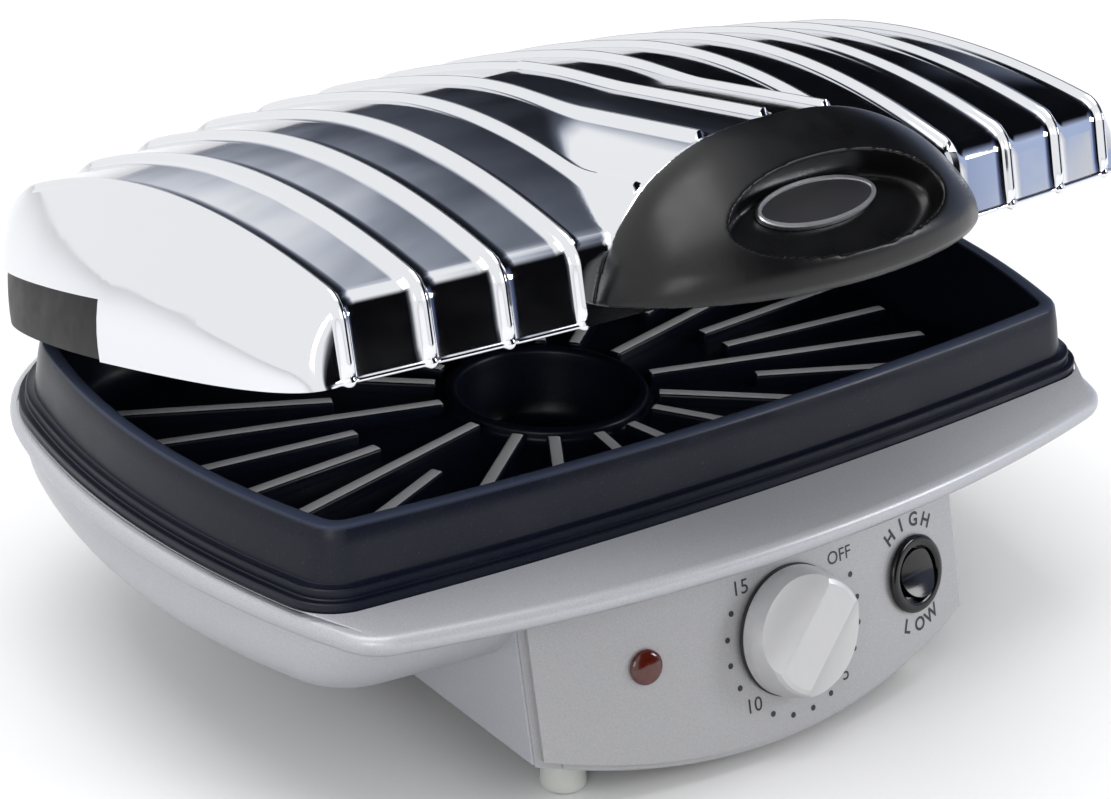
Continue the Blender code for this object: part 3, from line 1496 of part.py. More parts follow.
lid_axis = bpy.data.objects.new("lid_axis", None)
parts.objects.link(lid_axis)
lid_axis.matrix_world = Matrix.Translation((0, pivot_y, pivot_z)) @ Matrix.Rotation(-lid_open_angle, 4, "X")

make_base_shell()
make_control_panel()
make_bottom_cover()
make_feet()
make_grill_plate()
make_inner_parts()
make_timer()
make_lamp()
make_switch()
make_lid(lid_axis)
make_handle(lid_axis)
make_hinges(lid_axis)
centre_on_origin()
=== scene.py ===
"""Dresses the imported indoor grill: chrome lid, coated plate, silver base, controls and a studio."""
import json
from math import atan2, cos, hypot, pi, radians, sin, sqrt, tan

import bmesh
import bpy
from mathutils import Matrix, Vector


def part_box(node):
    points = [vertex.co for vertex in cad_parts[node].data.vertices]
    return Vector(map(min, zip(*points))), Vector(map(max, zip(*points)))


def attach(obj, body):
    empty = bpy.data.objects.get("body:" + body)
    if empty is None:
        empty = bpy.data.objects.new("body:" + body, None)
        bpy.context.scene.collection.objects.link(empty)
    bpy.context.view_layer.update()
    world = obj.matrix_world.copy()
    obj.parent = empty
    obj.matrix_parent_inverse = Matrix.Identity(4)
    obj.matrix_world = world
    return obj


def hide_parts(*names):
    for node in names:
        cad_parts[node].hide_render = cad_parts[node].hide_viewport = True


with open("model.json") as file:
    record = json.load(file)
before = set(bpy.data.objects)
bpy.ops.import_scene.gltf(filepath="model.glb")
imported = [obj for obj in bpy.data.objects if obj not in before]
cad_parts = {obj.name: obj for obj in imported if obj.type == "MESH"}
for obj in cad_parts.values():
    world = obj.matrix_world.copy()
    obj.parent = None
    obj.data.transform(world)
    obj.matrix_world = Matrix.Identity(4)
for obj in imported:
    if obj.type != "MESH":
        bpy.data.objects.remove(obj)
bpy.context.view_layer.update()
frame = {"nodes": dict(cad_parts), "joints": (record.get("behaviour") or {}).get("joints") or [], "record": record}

bl_info = {
    "name": "Indoor Grill Looks",
    "version": (1, 0, 0),
    "blender": (4, 5, 0),
    "location": "View3D > Sidebar > Grill",
    "description": "Builds the visible pieces, finishes and studio of an indoor grill",
    "category": "Object",
}

MM = 0.001


def joint(name):
    """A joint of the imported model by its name."""
    return next(item for item in frame["joints"] if item["name"] == name)


def middle_of(node):
    """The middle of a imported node's box."""
    low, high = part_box(node)
    return (Vector(low) + Vector(high)) / 2


PLATE_Y = middle_of("grill_plate").y
PIVOT = Vector(joint("lid_hinge")["pos_m"])
DIAL_SPOT = Vector(joint("timer_turn")["pos_m"])
DIAL_OUT = -Vector(joint("timer_turn")["axis"]).normalized()
ROCKER_SPOT = Vector(joint("rocker_tip")["pos_m"])
ROCKER_AXIS = Vector(joint("rocker_tip")["axis"]).normalized()
ROCKER_LEAN = radians(-8)

# Heights of the stack and the plate's size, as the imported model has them
RIM = 98.8 * MM
LEDGE = 77.5 * MM
LEDGE_THICK = 8.5 * MM
SEAM = 59.8 * MM
TRAY_FLOOR = 36.5 * MM
FOOT = 18.0 * MM
PLATE_WIDE = 150.0 * MM
PLATE_DEEP = 93.0 * MM
PLATE_DEPTH = 31.0 * MM
# How far inside the rim's outline the dish's floor begins, in mm like the profile that it ends
FLOOR_INSET = 15.5

# Outlines about the plate's middle, in mm: what each adds to the plate's half width and half depth, the
# bow of its sides, and the bow and corner radius of its front and of its rear
PLATE_FORM = (0.0, 0.0, 18.0, (9.0, 10.0), (9.0, 45.0))
LEDGE_FORM = (9.6, 32.5, 32.4, (25.6, 17.0), (34.0, 75.0))
TRAY_FORM = (5.5, 6.5, 21.0, (12.0, 16.0), (12.0, 46.0))
LEAST_CORNER = 4.0 * MM
TRAY_CORNER = 30.0 * MM
TRAY_RUN = 36.0 * MM
BASE_WALL = 2.2 * MM
SEAT_GAP = 7.4 * MM
SEAT_LIP = 4.5 * MM

# The lid, closed: v runs back from its front edge and the height is over its lower edge
TILT = radians(15)
PIVOT_V = 227.5 * MM
PIVOT_HEIGHT = 22.2 * MM
LID_LONG = 217.0 * MM
LID_WIDE = 155.5 * MM
LID_FRONT_BOW = 14.8 * MM
LID_REAR_BOW = 18.5 * MM
LID_FRONT_HIGH = 21.2 * MM
CROWN = 54.0 * MM
CROWN_FALL = 9.7 * MM
CROWN_V = 115.0 * MM
REAR_FALL = 10.0 * MM
FRONT_ROUND = 4.5 * MM
REAR_RUN = 30.0 * MM
REAR_DROP = 18.0 * MM
BEAD = 0.8 * MM
BEAD_LIFT = 0.45
END_STEPS = 16
END_POWER = 2.2
END_POWERS = (3.0, 1.8)
RIB_PITCH = 22.6 * MM
RIBS_A_SIDE = 6
HOOD_WIDE = 66.8 * MM
HOOD_HIGH = 43.6 * MM
HOOD_ROOT = 21.5 * MM
HOOD_POWER = 2.44
HOOD_SLOPE = 0.088
HOOD_ROUND = 1.2 * MM
# Where the lid's rear is cut away, and where the black skirt shows through: a v and a height for each
LID_NOTCH = (110.0 * MM, 17.2 * MM)
SKIRT_NOTCH = (107.5 * MM, 21.5 * MM)
SKIRT_INSET = 1.5 * MM
LID_FRAME = (Matrix.Translation(PIVOT) @ Matrix.Rotation(-TILT, 4, "X")
             @ Matrix.Translation((0, -PIVOT_V, -PIVOT_HEIGHT)))

# The handle
REACH = 35.0 * MM
NOSE = 9.0 * MM
NOSE_BACK = 4.2 * MM
HANDLE_FLARE = 5.6 * MM
HANDLE_FALL = 1.4
HANDLE_POWER = 2.4
RECESS = (37.0 * MM, 14.5 * MM)
RECESS_PLACE = Matrix.Translation((0, -26 * MM, 21.5 * MM))
RECESS_TURN = Matrix.Rotation(radians(50), 4, "X")
BADGE = (20.7 * MM, 7.3 * MM)
BADGE_SPOT = (0, 6.4 * MM, -9.4 * MM)
BADGE_THICK = 1.4 * MM

# The control panel
PANEL_WIDE = 81.5 * MM
PANEL_REACH = 107.0 * MM
PANEL_BOW = 9.5 * MM
PANEL_TILT = radians(14.7)
PANEL_THICK = 2.5 * MM
LAMP_SPOT = (-45.5 * MM, 39.5 * MM)
SHAFT_SPOT = (5.5 * MM, 37.0 * MM)
SWITCH_SPOT = (58.5 * MM, 37.0 * MM)
WORD_RING = 16.4 * MM
WORD_STEP = radians(21)
DOT_SPOT = (7.6 * MM, 36.3 * MM)
DOT_RING = 25.4 * MM
DOT_START = radians(40)
DOT_STEP = radians(17.6)
OFF_ANGLE = radians(46)
# A text object's size over the height of its capitals
TEXT_SIZE = 1.36

# The knob's grip, and the rocker's dish
GRIP_HALF = 6.0 * MM
GRIP_HIGH = 13.0 * MM
FLANK_RADIUS = 20.0 * MM
FLANK_DEPTH = 4.2 * MM
ROCKER_RADIUS = 7.5 * MM
ROCKER_TOP = 4.2 * MM
ROCKER_DISH = 1.6 * MM


def linear(code):
    """An sRGB hex colour as linear red, green, blue and alpha."""
    shares = [int(code[place:place + 2], 16) / 255 for place in (1, 3, 5)]
    curved = [share / 12.92 if share <= 0.04045 else ((share + 0.055) / 1.055) ** 2.4 for share in shares]
    return curved + [1.0]


def size_prop(label, words, value):
    """A length that a user may change."""
    return bpy.props.FloatProperty(name=label, description=words, default=value, unit="LENGTH", precision=5)


def colour_prop(label, words, code):
    """A colour that a user may change."""
    return bpy.props.FloatVectorProperty(name=label, description=words, default=linear(code)[:3], size=3,
                                         min=0, max=1, subtype="COLOR")


class GrillSizes(bpy.types.PropertyGroup):
    """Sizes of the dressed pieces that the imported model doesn't give."""
    rib_height: size_prop("Lid rib height", "How far a raised rib stands over the lid", 2.1 * MM)
    rib_width: size_prop("Lid rib width", "Width of a raised rib of the lid at its foot", 4.6 * MM)
    crease: size_prop("Hood crease", "How softly the hood runs into the lid", 2.0 * MM)
    rib_top: size_prop("Cooking rib width", "Width of a cooking rib on the plate", 4.6 * MM)
    dot: size_prop("Dial dot", "Radius of a printed dot of the dial", 0.9 * MM)
    letter: size_prop("Dial letter", "Height of the printed figures", 4.6 * MM)


class GrillColours(bpy.types.PropertyGroup):
    """Colours of the finishes."""
    chrome: colour_prop("Chrome", "Chromium plating of the lid", "#E6E8EC")
    silver: colour_prop("Silver paint", "Paint of the base", "#BEC0C6")
    panel: colour_prop("Panel paint", "Paint of the control panel", "#B2B2B5")
    coating: colour_prop("Coating", "Non-stick coating of the plate", "#101422")
    black: colour_prop("Black plastic", "Moulded plastic of the handle", "#0B0B0D")
    knob: colour_prop("Knob", "Moulded plastic of the knob", "#CFCFD1")
    lens: colour_prop("Lens", "Indicator lens", "#521A0E")
    ink: colour_prop("Ink", "Printed marks on the panel", "#2A2B2F")


def focus(*items):
    """Make some objects the only selected ones, the first of them active."""
    bpy.ops.object.select_all(action="DESELECT")
    for item in items:
        item.select_set(True)
    bpy.context.view_layer.objects.active = items[0]


def modify(item, kind, **settings):
    """Add a modifier and apply it."""
    focus(item)
    made = item.modifiers.new(kind.title(), kind)
    for key, value in settings.items():
        setattr(made, key, value)
    bpy.ops.object.modifier_apply(modifier=made.name)
    if not item.data.polygons:
        raise RuntimeError(f"{kind} left nothing of {item.name}")
    return item


def settle(item, matrix=None):
    """Put an object's place into its mesh, so that the object sits unturned at the origin."""
    if matrix is not None:
        item.matrix_world = matrix @ item.matrix_world
    focus(item)
    bpy.ops.object.transform_apply(location=True, rotation=True, scale=True)
    return item


def joined(items, name):
    """Join some objects into the first one, under a name."""
    focus(*items)
    bpy.ops.object.join()
    items[0].name = name
    return items[0]


def placed(name, data):
    """A new object in the scene."""
    item = bpy.data.objects.new(name, data)
    bpy.context.scene.collection.objects.link(item)
    return item


def reshape(item, change):
    """Change an object's mesh by a function of its bmesh."""
    bm = bmesh.new()
    bm.from_mesh(item.data)
    change(bm)
    bm.to_mesh(item.data)
    bm.free()
    return item


def finish_piece(item, body, finish, nodes=(), angle=40):
    """Smooth a piece, give it its finish, and say what it rides on and stands for."""
    if not item.data.polygons:
        raise RuntimeError(f"{item.name} has no faces")
    item.data.name = item.name
    focus(item)
    bpy.ops.object.shade_smooth_by_angle(angle=radians(angle))
    item.data.materials.clear()
    item.data.materials.append(FINISHES[finish])
    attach(item, body)
    if nodes:
        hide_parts(*nodes)
    return item


def second_finish(item, finish, chosen):
    """Give a piece a second finish on some of its faces."""
    item.data.materials.append(FINISHES[finish])
    for face in chosen:
        item.data.polygons[face].material_index = 1


def sheet(name, rows, wrap=False, caps=False):
    """An object with a skin through rows of points, each row joined to the next."""
    bm = bmesh.new()
    lines = [[bm.verts.new(point) for point in row] for row in rows]
    for first, second in zip(lines, lines[1:]):
        count = len(first)
        for index in range(count if wrap else count - 1):
            after = (index + 1) % count
            bm.faces.new((first[index], first[after], second[after], second[index]))
    if caps:
        bm.faces.new(lines[0][::-1])
        bm.faces.new(lines[-1])
    bmesh.ops.remove_doubles(bm, verts=bm.verts, dist=0.002 * MM)
    bmesh.ops.dissolve_degenerate(bm, edges=bm.edges, dist=0.001 * MM)
    bmesh.ops.recalc_face_normals(bm, faces=bm.faces)
    mesh = bpy.data.meshes.new(name)
    bm.to_mesh(mesh)
    bm.free()
    return placed(name, mesh)


def boolean(item, tool, operation="DIFFERENCE"):
    """Cut or join one solid with another, and remove the tool."""
    modify(item, "BOOLEAN", operation=operation, solver="EXACT", object=tool)
    bpy.data.objects.remove(tool, do_unlink=True)
    return item


def lathe(name, profile, steps=96):
    """A turned solid about Z from (radius, height) points in mm."""
    turns = [2 * pi * index / steps for index in range(steps)]
    rows = [[(radius * MM * cos(turn), radius * MM * sin(turn), height * MM) for turn in turns]
            for radius, height in profile]
    return sheet(name, rows, wrap=True)


def rod(radius, low, high, steps=64):
    """A plain cylinder along Z, as a cutting tool."""
    bpy.ops.mesh.primitive_cylinder_add(vertices=steps, radius=radius, depth=high - low,
                                        location=(0, 0, (low + high) / 2))
    return settle(bpy.context.object)


def block(low, high):
    """A plain box between two corners, to be rounded."""
    bpy.ops.mesh.primitive_cube_add(size=1, location=[(a + b) / 2 for a, b in zip(low, high)],
                                    scale=[b - a for a, b in zip(low, high)])
    return settle(bpy.context.object)


def refined(node, name, width, finish):
    """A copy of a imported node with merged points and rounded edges, which stands for it."""
    item = placed(name, frame["nodes"][node].data.copy())
    focus(item)
    bpy.ops.object.mode_set(mode="EDIT")
    bpy.ops.mesh.select_all(action="SELECT")
    bpy.ops.mesh.remove_doubles(threshold=0.005 * MM)
    bpy.ops.mesh.dissolve_limited(angle_limit=radians(1.0))
    bpy.ops.object.mode_set(mode="OBJECT")
    if width:
        modify(item, "BEVEL", width=width * MM, segments=2, limit_method="ANGLE", angle_limit=radians(30),
               use_clamp_overlap=True, harden_normals=False)
    record = frame["record"]
    body = next(key for key, nodes in record["behaviour"]["bodies"].items() if node in nodes)
    return finish_piece(item, body, finish, (node,), 35)


def evenly(start, end, count):
    """Places spread evenly from a start, which is left out, to an end."""
    return [start + (end - start) * step / count for step in range(1, count + 1)]


def arc(centre, radius, start, end, steps):
    """Points on an arc, without its last point."""
    return [(centre[0] + radius * cos(start + (end - start) * index / steps),
             centre[1] + radius * sin(start + (end - start) * index / steps)) for index in range(steps)]


def fillet(side_centre, side_radius, end_centre, end_radius):
    """Where two circles cross, one centred on the X axis and one on the Y axis."""
    gap = hypot(side_centre, end_centre)
    along = (side_radius ** 2 - end_radius ** 2 + gap ** 2) / (2 * gap)
    across = sqrt(side_radius ** 2 - along ** 2)
    turn = (-side_centre / gap, end_centre / gap)
    both = [(side_centre + along * turn[0] + sign * across * turn[1],
             along * turn[1] - sign * across * turn[0]) for sign in (1, -1)]
    return max(both, key=sum)


def bowed(half_width, ends, side_bow):
    """A rectangle with bowed sides and round corners. Each end is (reach, bow, corner radius)."""
    side_steps, corner_steps, end_steps = 12, 16, 18
    least = min(ends[0][0], ends[1][0])
    side_radius = (least ** 2 + side_bow ** 2) / (2 * side_bow)
    side_centre = half_width - side_radius
    halves = []
    for reach, bow, corner in ends:
        radius = (half_width ** 2 + bow ** 2) / (2 * bow)
        centre_y = reach - radius
        centre = fillet(side_centre, side_radius - corner, centre_y, radius - corner)
        side_angle = atan2(centre[1], centre[0] - side_centre)
        end_angle = atan2(centre[1] - centre_y, centre[0])
        half = arc((side_centre, 0), side_radius, 0, side_angle, side_steps)
        half += arc(centre, corner, side_angle, end_angle, corner_steps)
        half += arc((0, centre_y), radius, end_angle, pi / 2, end_steps)
        halves.append(half + [(0, reach)])
    front, rear = halves
    right = [(x, -y) for x, y in reversed(front)] + rear[1:]
    return right + [(-x, y) for x, y in reversed(right[1:-1])]


def grown(corner, outset):
    """A corner radius that keeps up with its outline."""
    return max(corner + outset, LEAST_CORNER)


def tucked(corner, outset):
    """A corner radius of the tray, whose corners grow alike as its wall curves under."""
    return corner + (TRAY_CORNER - corner) * -outset / TRAY_RUN


def outline_of(form, outset, rule=grown):
    """The outline of the plate, the ledge or the tray, moved outwards."""
    wide, deep, side_bow, *ends = form
    reach = PLATE_DEEP + deep * MM + outset
    rounded = [(reach, bow * MM, rule(corner * MM, outset)) for bow, corner in ends]
    return bowed(PLATE_WIDE + wide * MM + outset, rounded, side_bow * MM)


def at_plate(outline, level):
    """Lay an outline at a height, about the plate's middle."""
    return [(x, y + PLATE_Y, level) for x, y in outline]


def panel_y(x, level):
    """Where the control panel's face lies."""
    bow = PANEL_BOW * (x / PANEL_WIDE) ** 2
    return PLATE_Y - (PANEL_REACH - bow) + tan(PANEL_TILT) * (level - SEAM)


def frame_of(across, out, spot):
    """A frame at a spot from its X and Z directions."""
    turn = Matrix((across, out.cross(across), out)).transposed().to_4x4()
    turn.translation = spot
    return turn


def panel_frame(x, level):
    """A frame on the control panel: X to the right, Y up it, Z out of it."""
    across = Vector((1, 2 * PANEL_BOW * x / PANEL_WIDE ** 2, 0)).normalized()
    up = Vector((0, tan(PANEL_TILT), 1)).normalized()
    return frame_of(across, across.cross(up).normalized(), (x, panel_y(x, level), level))


def upright_frame(spot, out):
    """A frame at a spot with Z along a direction and Y as far up as it can be."""
    return frame_of(Vector((0, 0, 1)).cross(out).normalized(), out, spot)


def round_frame(at, reach, angle):
    """A frame moved out from its middle along an angle."""
    return at @ Matrix.Translation((reach * cos(angle), reach * sin(angle), 0))


def front_at(x, inset=0.0):
    """Where the lid's front edge lies."""
    return LID_FRONT_BOW * (x / LID_WIDE) ** 2 + inset


def rear_at(x, inset=0.0):
    """Where the lid's rear edge lies."""
    return LID_LONG - LID_REAR_BOW * (x / LID_WIDE) ** 2 - inset


def edge_drop(distance, run, drop):
    """How far a rounded edge lies below its sharp corner."""
    if distance >= run:
        return 0.0
    return drop * (1 - sqrt(max(1 - (1 - distance / run) ** 2, 0)))


def lid_height(x, v, inset, hood, crease):
    """Height of the lid's face over its lower edge."""
    run = max(v - front_at(x, inset), 0)
    left = max(rear_at(x, inset) - v, 0)
    crown = CROWN - CROWN_FALL * (x / (RIBS_A_SIDE * RIB_PITCH)) ** 2
    if run < CROWN_V:
        height = crown - (crown - LID_FRONT_HIGH) * ((CROWN_V - run) / CROWN_V) ** 2
    else:
        tail = rear_at(x, inset) - front_at(x, inset) - CROWN_V
        height = crown - REAR_FALL * ((run - CROWN_V) / tail) ** 2
    height -= edge_drop(run, FRONT_ROUND, FRONT_ROUND) + inset
    if hood and run < CROWN_V:
        share = abs(x) / (HOOD_WIDE - inset)
        arch = -HOOD_ROOT
        if share < 1:
            arch += (HOOD_HIGH + HOOD_ROOT - inset) * (1 - share ** HOOD_POWER) ** (1 / HOOD_POWER)
        raised = arch + HOOD_SLOPE * run - edge_drop(run, HOOD_ROUND, HOOD_ROUND)
        gap = abs(raised - height)
        height = max(height, raised)
        if crease and gap < crease and run > FRONT_ROUND:
            height += (crease - gap) ** 2 / (4 * crease)
    return height - edge_drop(left, REAR_RUN, REAR_DROP)


def lid_rows(x, form, fine):
    """Points (v, height) over the lid at a place across it, from its front edge to its rear edge."""
    inset, hood, crease = form
    front = front_at(x, inset)
    rear = rear_at(x, inset)
    bead = BEAD if hood and inset == 0 else 0.0
    front_bead = 0.0 if abs(x) < HOOD_WIDE + BEAD else bead
    bead_top = 2 * BEAD
    behind_crown = CROWN_V + 8 * MM
    places = [front + FRONT_ROUND * (1 - cos(pi / 2 * step / 8)) for step in range(9)]
    places += evenly(front + FRONT_ROUND, behind_crown, int(66 * fine))
    places += evenly(behind_crown, rear - REAR_RUN, int(20 * fine))
    places += [rear - REAR_RUN * (1 - sin(pi / 2 * step / 12)) for step in range(1, 13)]
    face = [(v, lid_height(x, v, *form)) for v in places]
    turns = [pi * step / 4 for step in range(5)]
    points = [(front - front_bead * sin(turn), BEAD * (1 - cos(turn))) for turn in turns]
    points += [(front, level) for level in evenly(bead_top, face[0][1], 7)[:-1]] + face
    points += [(rear, level) for level in evenly(face[-1][1], bead_top, 5)[:-1]]
    return points + [(rear + bead * sin(turn), BEAD * (1 + cos(turn))) for turn in turns]


def rib_bump(offset, width):
    """Height share of a pressed rib at an offset from its middle: a round top and soft feet."""
    share = min(abs(offset) / (width / 2), 1)
    edge = min(max((1 - share) / 0.9, 0), 1)
    return edge * edge * (3 - 2 * edge)


def lid_columns(rib_width, fine):
    """Places across the lid: the turns of each rib, close ones over the hood and wider ones outside."""
    half = (0.12, 0.22, 0.31, 0.4, 0.5)
    places = []
    for index in range(-RIBS_A_SIDE, RIBS_A_SIDE + 1):
        middle = index * RIB_PITCH
        places += [middle] + [middle + sign * share * rib_width for share in half for sign in (-1, 1)]
        if index < RIBS_A_SIDE:
            inside = abs(middle + RIB_PITCH / 2) < HOOD_WIDE + 6 * MM
            count = int((12 if inside else 5) * fine)
            places += evenly(middle + rib_width / 2, middle + RIB_PITCH - rib_width / 2, count + 1)[:-1]
    return sorted(places)


def lid_end(edge, side, end_x, inset):
    """Columns of points that round the lid off beyond its last rib, on one side."""
    front, rear = edge[0][1], edge[-1][1]
    middle = (front + rear) / 2
    last = len(edge) - 1
    columns = []
    for step in range(1, END_STEPS + 1):
        level = cos(pi / 2 * step / END_STEPS)
        share = 1 - level ** END_POWER
        column = []
        for index, (_, v, height) in enumerate(edge):
            angle = pi * index / last
            in_front = angle < pi / 2
            power = END_POWERS[0] if in_front else END_POWERS[1]
            reach = sin(angle) ** (2 / power) if 0 < index < last else 0
            turn = abs(cos(angle)) ** (2 / power)
            out_v = middle - (middle - front) * turn if in_front else middle + (rear - middle) * turn
            out_x = end_x + (LID_WIDE - inset - end_x) * reach
            x = side * (end_x + (out_x - end_x) * share)
            column.append((x, v + (out_v - v) * share, height * level))
        columns.append(column)
    return columns


def lid_skin(name, form, ribs, rib_width, fine=1.0):
    """The lid's face as an open dome on the closed lid's axes. Its form is (inset, hood, crease)."""
    inset = form[0]
    end_x = RIBS_A_SIDE * RIB_PITCH + rib_width / 2 - inset
    grid = []
    for x in lid_columns(rib_width, fine):
        x = max(min(x, end_x), -end_x)
        profile = lid_rows(x, form, fine)
        near = x - round(x / RIB_PITCH) * RIB_PITCH
        lift = ribs * rib_bump(near, rib_width)
        row = []
        for index, (v, height) in enumerate(profile):
            before = profile[max(index - 1, 0)]
            after = profile[min(index + 1, len(profile) - 1)]
            along = Vector((after[0] - before[0], after[1] - before[1]))
            out = Vector((-along.y, along.x)).normalized() if along.length else Vector((0, 1))
            hidden = abs(x) < HOOD_WIDE + BEAD and v < front_at(x) + 2.2 * MM
            at_bead = index < 5 or index >= len(profile) - 5
            size = 0 if hidden else lift * (BEAD_LIFT if at_bead else 1)
            row.append((x, v + out.x * size, height + out.y * size))
        grid.append(row)
    left = lid_end(grid[0], -1, end_x, inset)
    return sheet(name, left[::-1] + grid + lid_end(grid[-1], 1, end_x, inset))


def cut_lid(item, notch, inside_goes=True):
    """Cut the closed lid's skin along a notch's two planes, and delete what is in the notch, or all else."""
    v, height = notch

    def cut(bm):
        for place, normal in (((0, v, 0), (0, 1, 0)), ((0, 0, height), (0, 0, 1))):
            every = bm.verts[:] + bm.edges[:] + bm.faces[:]
            bmesh.ops.bisect_plane(bm, geom=every, plane_co=place, plane_no=normal)
        middles = {face: face.calc_center_median() for face in bm.faces}
        doomed = [face for face, spot in middles.items() if (spot.y > v and spot.z < height) == inside_goes]
        bmesh.ops.delete(bm, geom=doomed, context="FACES")

    return reshape(item, cut)


def feed(tree, source, target):
    """Link a socket, or a node's first output in use, to an input."""
    if isinstance(source, bpy.types.Node):
        source = next(socket for socket in source.outputs if socket.enabled)
    tree.links.new(source, target)


def add_node(tree, kind, inputs=None, stops=(), **settings):
    """Add a shader node, set what it holds and its colour stops, and link or fill its inputs."""
    made = tree.nodes.new("ShaderNode" + kind)
    for key, value in settings.items():
        setattr(made, key, value)
    for key, value in (inputs or {}).items():
        if isinstance(value, (bpy.types.Node, bpy.types.NodeSocket)):
            feed(tree, value, made.inputs[key])
        else:
            made.inputs[key].default_value = value
    if stops:
        band = made.color_ramp.elements
        band.remove(band[-1])
        for index, (place, code) in enumerate(stops):
            element = band.new(place) if index else band[0]
            element.position = place
            element.color = linear(code)
    return made


def new_finish(name, colour, **sockets):
    """A material with its Principled shader set, and its object coordinates."""
    made = bpy.data.materials.new(name)
    made.use_nodes = True
    tree = made.node_tree
    shader = tree.nodes["Principled BSDF"]
    values = list(colour)[:3] + [1.0]
    shader.inputs["Base Color"].default_value = values
    made.diffuse_color = values
    for key, value in sockets.items():
        shader.inputs[key.replace("_", " ")].default_value = value
    place = add_node(tree, "TexCoord").outputs["Object"]
    return made, tree, shader, place, colour


def scaled(colour, share):
    """A colour made lighter or darker."""
    return [min(value * share, 1) for value in list(colour)[:3]] + [1.0]


def vary(finish, *patterns):
    """Let noises vary a new finish, and return its material.

    Each pattern is the socket it drives, the noise as (blob size in mm, detail, its own roughness if not
    0.5), and two values. They are the lowest and highest Roughness, the two shares of the Base Color, or
    for Normal the relief's height in mm and its strength. Patterns of the same noise share it.
    """
    made, tree, shader, place, colour = finish
    noises = {}
    for socket, noise, low, high in patterns:
        if noise not in noises:
            size, detail, roughness = (*noise, 0.5)[:3]
            noises[noise] = add_node(tree, "TexNoise", {"Vector": place, "Scale": 1 / (size * MM),
                                                        "Detail": detail, "Roughness": roughness})
        value = noises[noise]
        if socket == "Normal":
            value = add_node(tree, "Bump", {"Height": value, "Distance": low * MM, "Strength": high})
        else:
            span = (0, 1) if socket == "Base Color" else (low, high)
            value = add_node(tree, "MapRange", {"Value": value, "From Min": 0.3, "From Max": 0.7,
                                                "To Min": span[0], "To Max": span[1]})
        if socket == "Base Color":
            value = add_node(tree, "Mix", {0: value, 6: scaled(colour, low), 7: scaled(colour, high)},
                             data_type="RGBA")
        feed(tree, value, shader.inputs[socket])
    return made


def chromium_plate(colour):
    """Bright chromium plate on pressed steel: a mirror with faint waves of the pressing and light smears."""
    finish = new_finish("Bright chromium plate", colour, Metallic=1.0, Roughness=0.06)
    return vary(finish, ("Roughness", (18, 4, 0.6), 0.045, 0.11), ("Normal", (26, 1), 0.25, 0.35))


def fine_grained(colour, name, roughness, grain, shine=0.4):
    """Injection-moulded nylon with its mould's spark-eroded grain, and enamel or an etched field like it.

    It has a soft, slightly uneven sheen. The real grain is about 0.1 mm, drawn at 0.5 mm so that it shows.
    """
    return vary(new_finish(name, colour, Roughness=roughness, IOR=1.49, Specular_IOR_Level=shine),
                ("Roughness", (9, 3), roughness - 0.04, roughness + 0.05), ("Normal", (0.5, 2), grain, 0.5))


def metallic_paint(colour, name, roughness, shine, flakes):
    """Silver lacquer on moulded ABS: 0.1 mm aluminium flake, drawn at 0.35 mm, under a clear coat."""
    finish = new_finish(name, colour, Metallic=flakes, Roughness=roughness, Coat_Weight=shine,
                        Coat_Roughness=0.12)
    flake = (0.35, 1)
    return vary(finish, ("Base Color", flake, 0.90, 1.08), ("Normal", flake, 0.01, 0.4),
                ("Roughness", (40, 2), roughness - 0.03, roughness + 0.04))


def nonstick(colour):
    """Sprayed PTFE on cast aluminium: blue-black, with orange peel and mica specks, and a painted highlight along
    the rim.
    """
    finish = new_finish("Sprayed non-stick coating", colour, Roughness=0.32, IOR=1.38, Specular_IOR_Level=0.4)
    tree, shader, place = finish[1:4]
    speck = add_node(tree, "TexNoise", {"Vector": place, "Scale": 1 / (0.6 * MM), "Detail": 1,
                                        "Roughness": 0.5})
    lifted = add_node(tree, "MapRange", {"Value": speck, "From Min": 0.66, "From Max": 0.74})
    specked = add_node(tree, "Mix", {0: lifted, 6: scaled(colour, 1), 7: scaled(colour, 3.2)},
                       data_type="RGBA")
    # A painted highlight: the rim's top millimetre is mixed towards a pale blue-grey, standing in for the light
    # that the rim's edge reflects.
    level = add_node(tree, "SeparateXYZ", {0: place}).outputs["Z"]
    rim_highlight_mask = add_node(tree, "MapRange", {"Value": level, "From Min": RIM - 1.1 * MM, "From Max": RIM - 0.1 * MM,
                                       "To Max": 0.35})
    rim_highlit = add_node(tree, "Mix", {0: rim_highlight_mask, 6: specked, 7: linear("#6E7A98")}, data_type="RGBA")
    feed(tree, rim_highlit, shader.inputs["Base Color"])
    return vary(finish, ("Roughness", (22, 3), 0.27, 0.38), ("Normal", (1.6, 2), 0.04, 0.5))


def ground_metal_and_rib_highlight(name, code, roughness, metallic=1.0):
    """Ground aluminium: bright, with fine scratches left by the belt, which scatter some of the light. Made
    near-white and hardly metallic, it is also the painted highlight on the cooking ribs' tops.
    """
    scratch = (0.5, 4, 0.7)
    return vary(new_finish(name, linear(code), Metallic=metallic, Roughness=roughness),
                ("Roughness", scratch, roughness - 0.07, roughness + 0.07), ("Normal", scratch, 0.02, 0.5))


def knob_plastic(colour):
    """Moulded ABS with a pearl pigment: pale, with a soft sheen and faint flow marks."""
    finish = new_finish("Pearl moulded plastic", colour, Roughness=0.34, IOR=1.53, Metallic=0.2,
                        Coat_Weight=0.2, Coat_Roughness=0.2)
    made, tree, shader, place, colour = finish
    stretch = add_node(tree, "Mapping", {"Vector": place, "Scale": (1.0, 1.0, 0.35)})
    vary((made, tree, shader, stretch, colour), ("Base Color", (3.5, 3), 0.985, 1.015))
    return vary(finish, ("Normal", (0.5, 1), 0.01, 0.4))


def lens_plastic(colour):
    """Tinted polycarbonate: deep red-brown and clear, mottled by the lens moulded inside it."""
    finish = new_finish("Tinted lens plastic", colour, Roughness=0.12, IOR=1.58, Subsurface_Weight=0.15,
                        Coat_Weight=0.15)
    return vary(finish, ("Base Color", (2.4, 2), 0.7, 1.35))


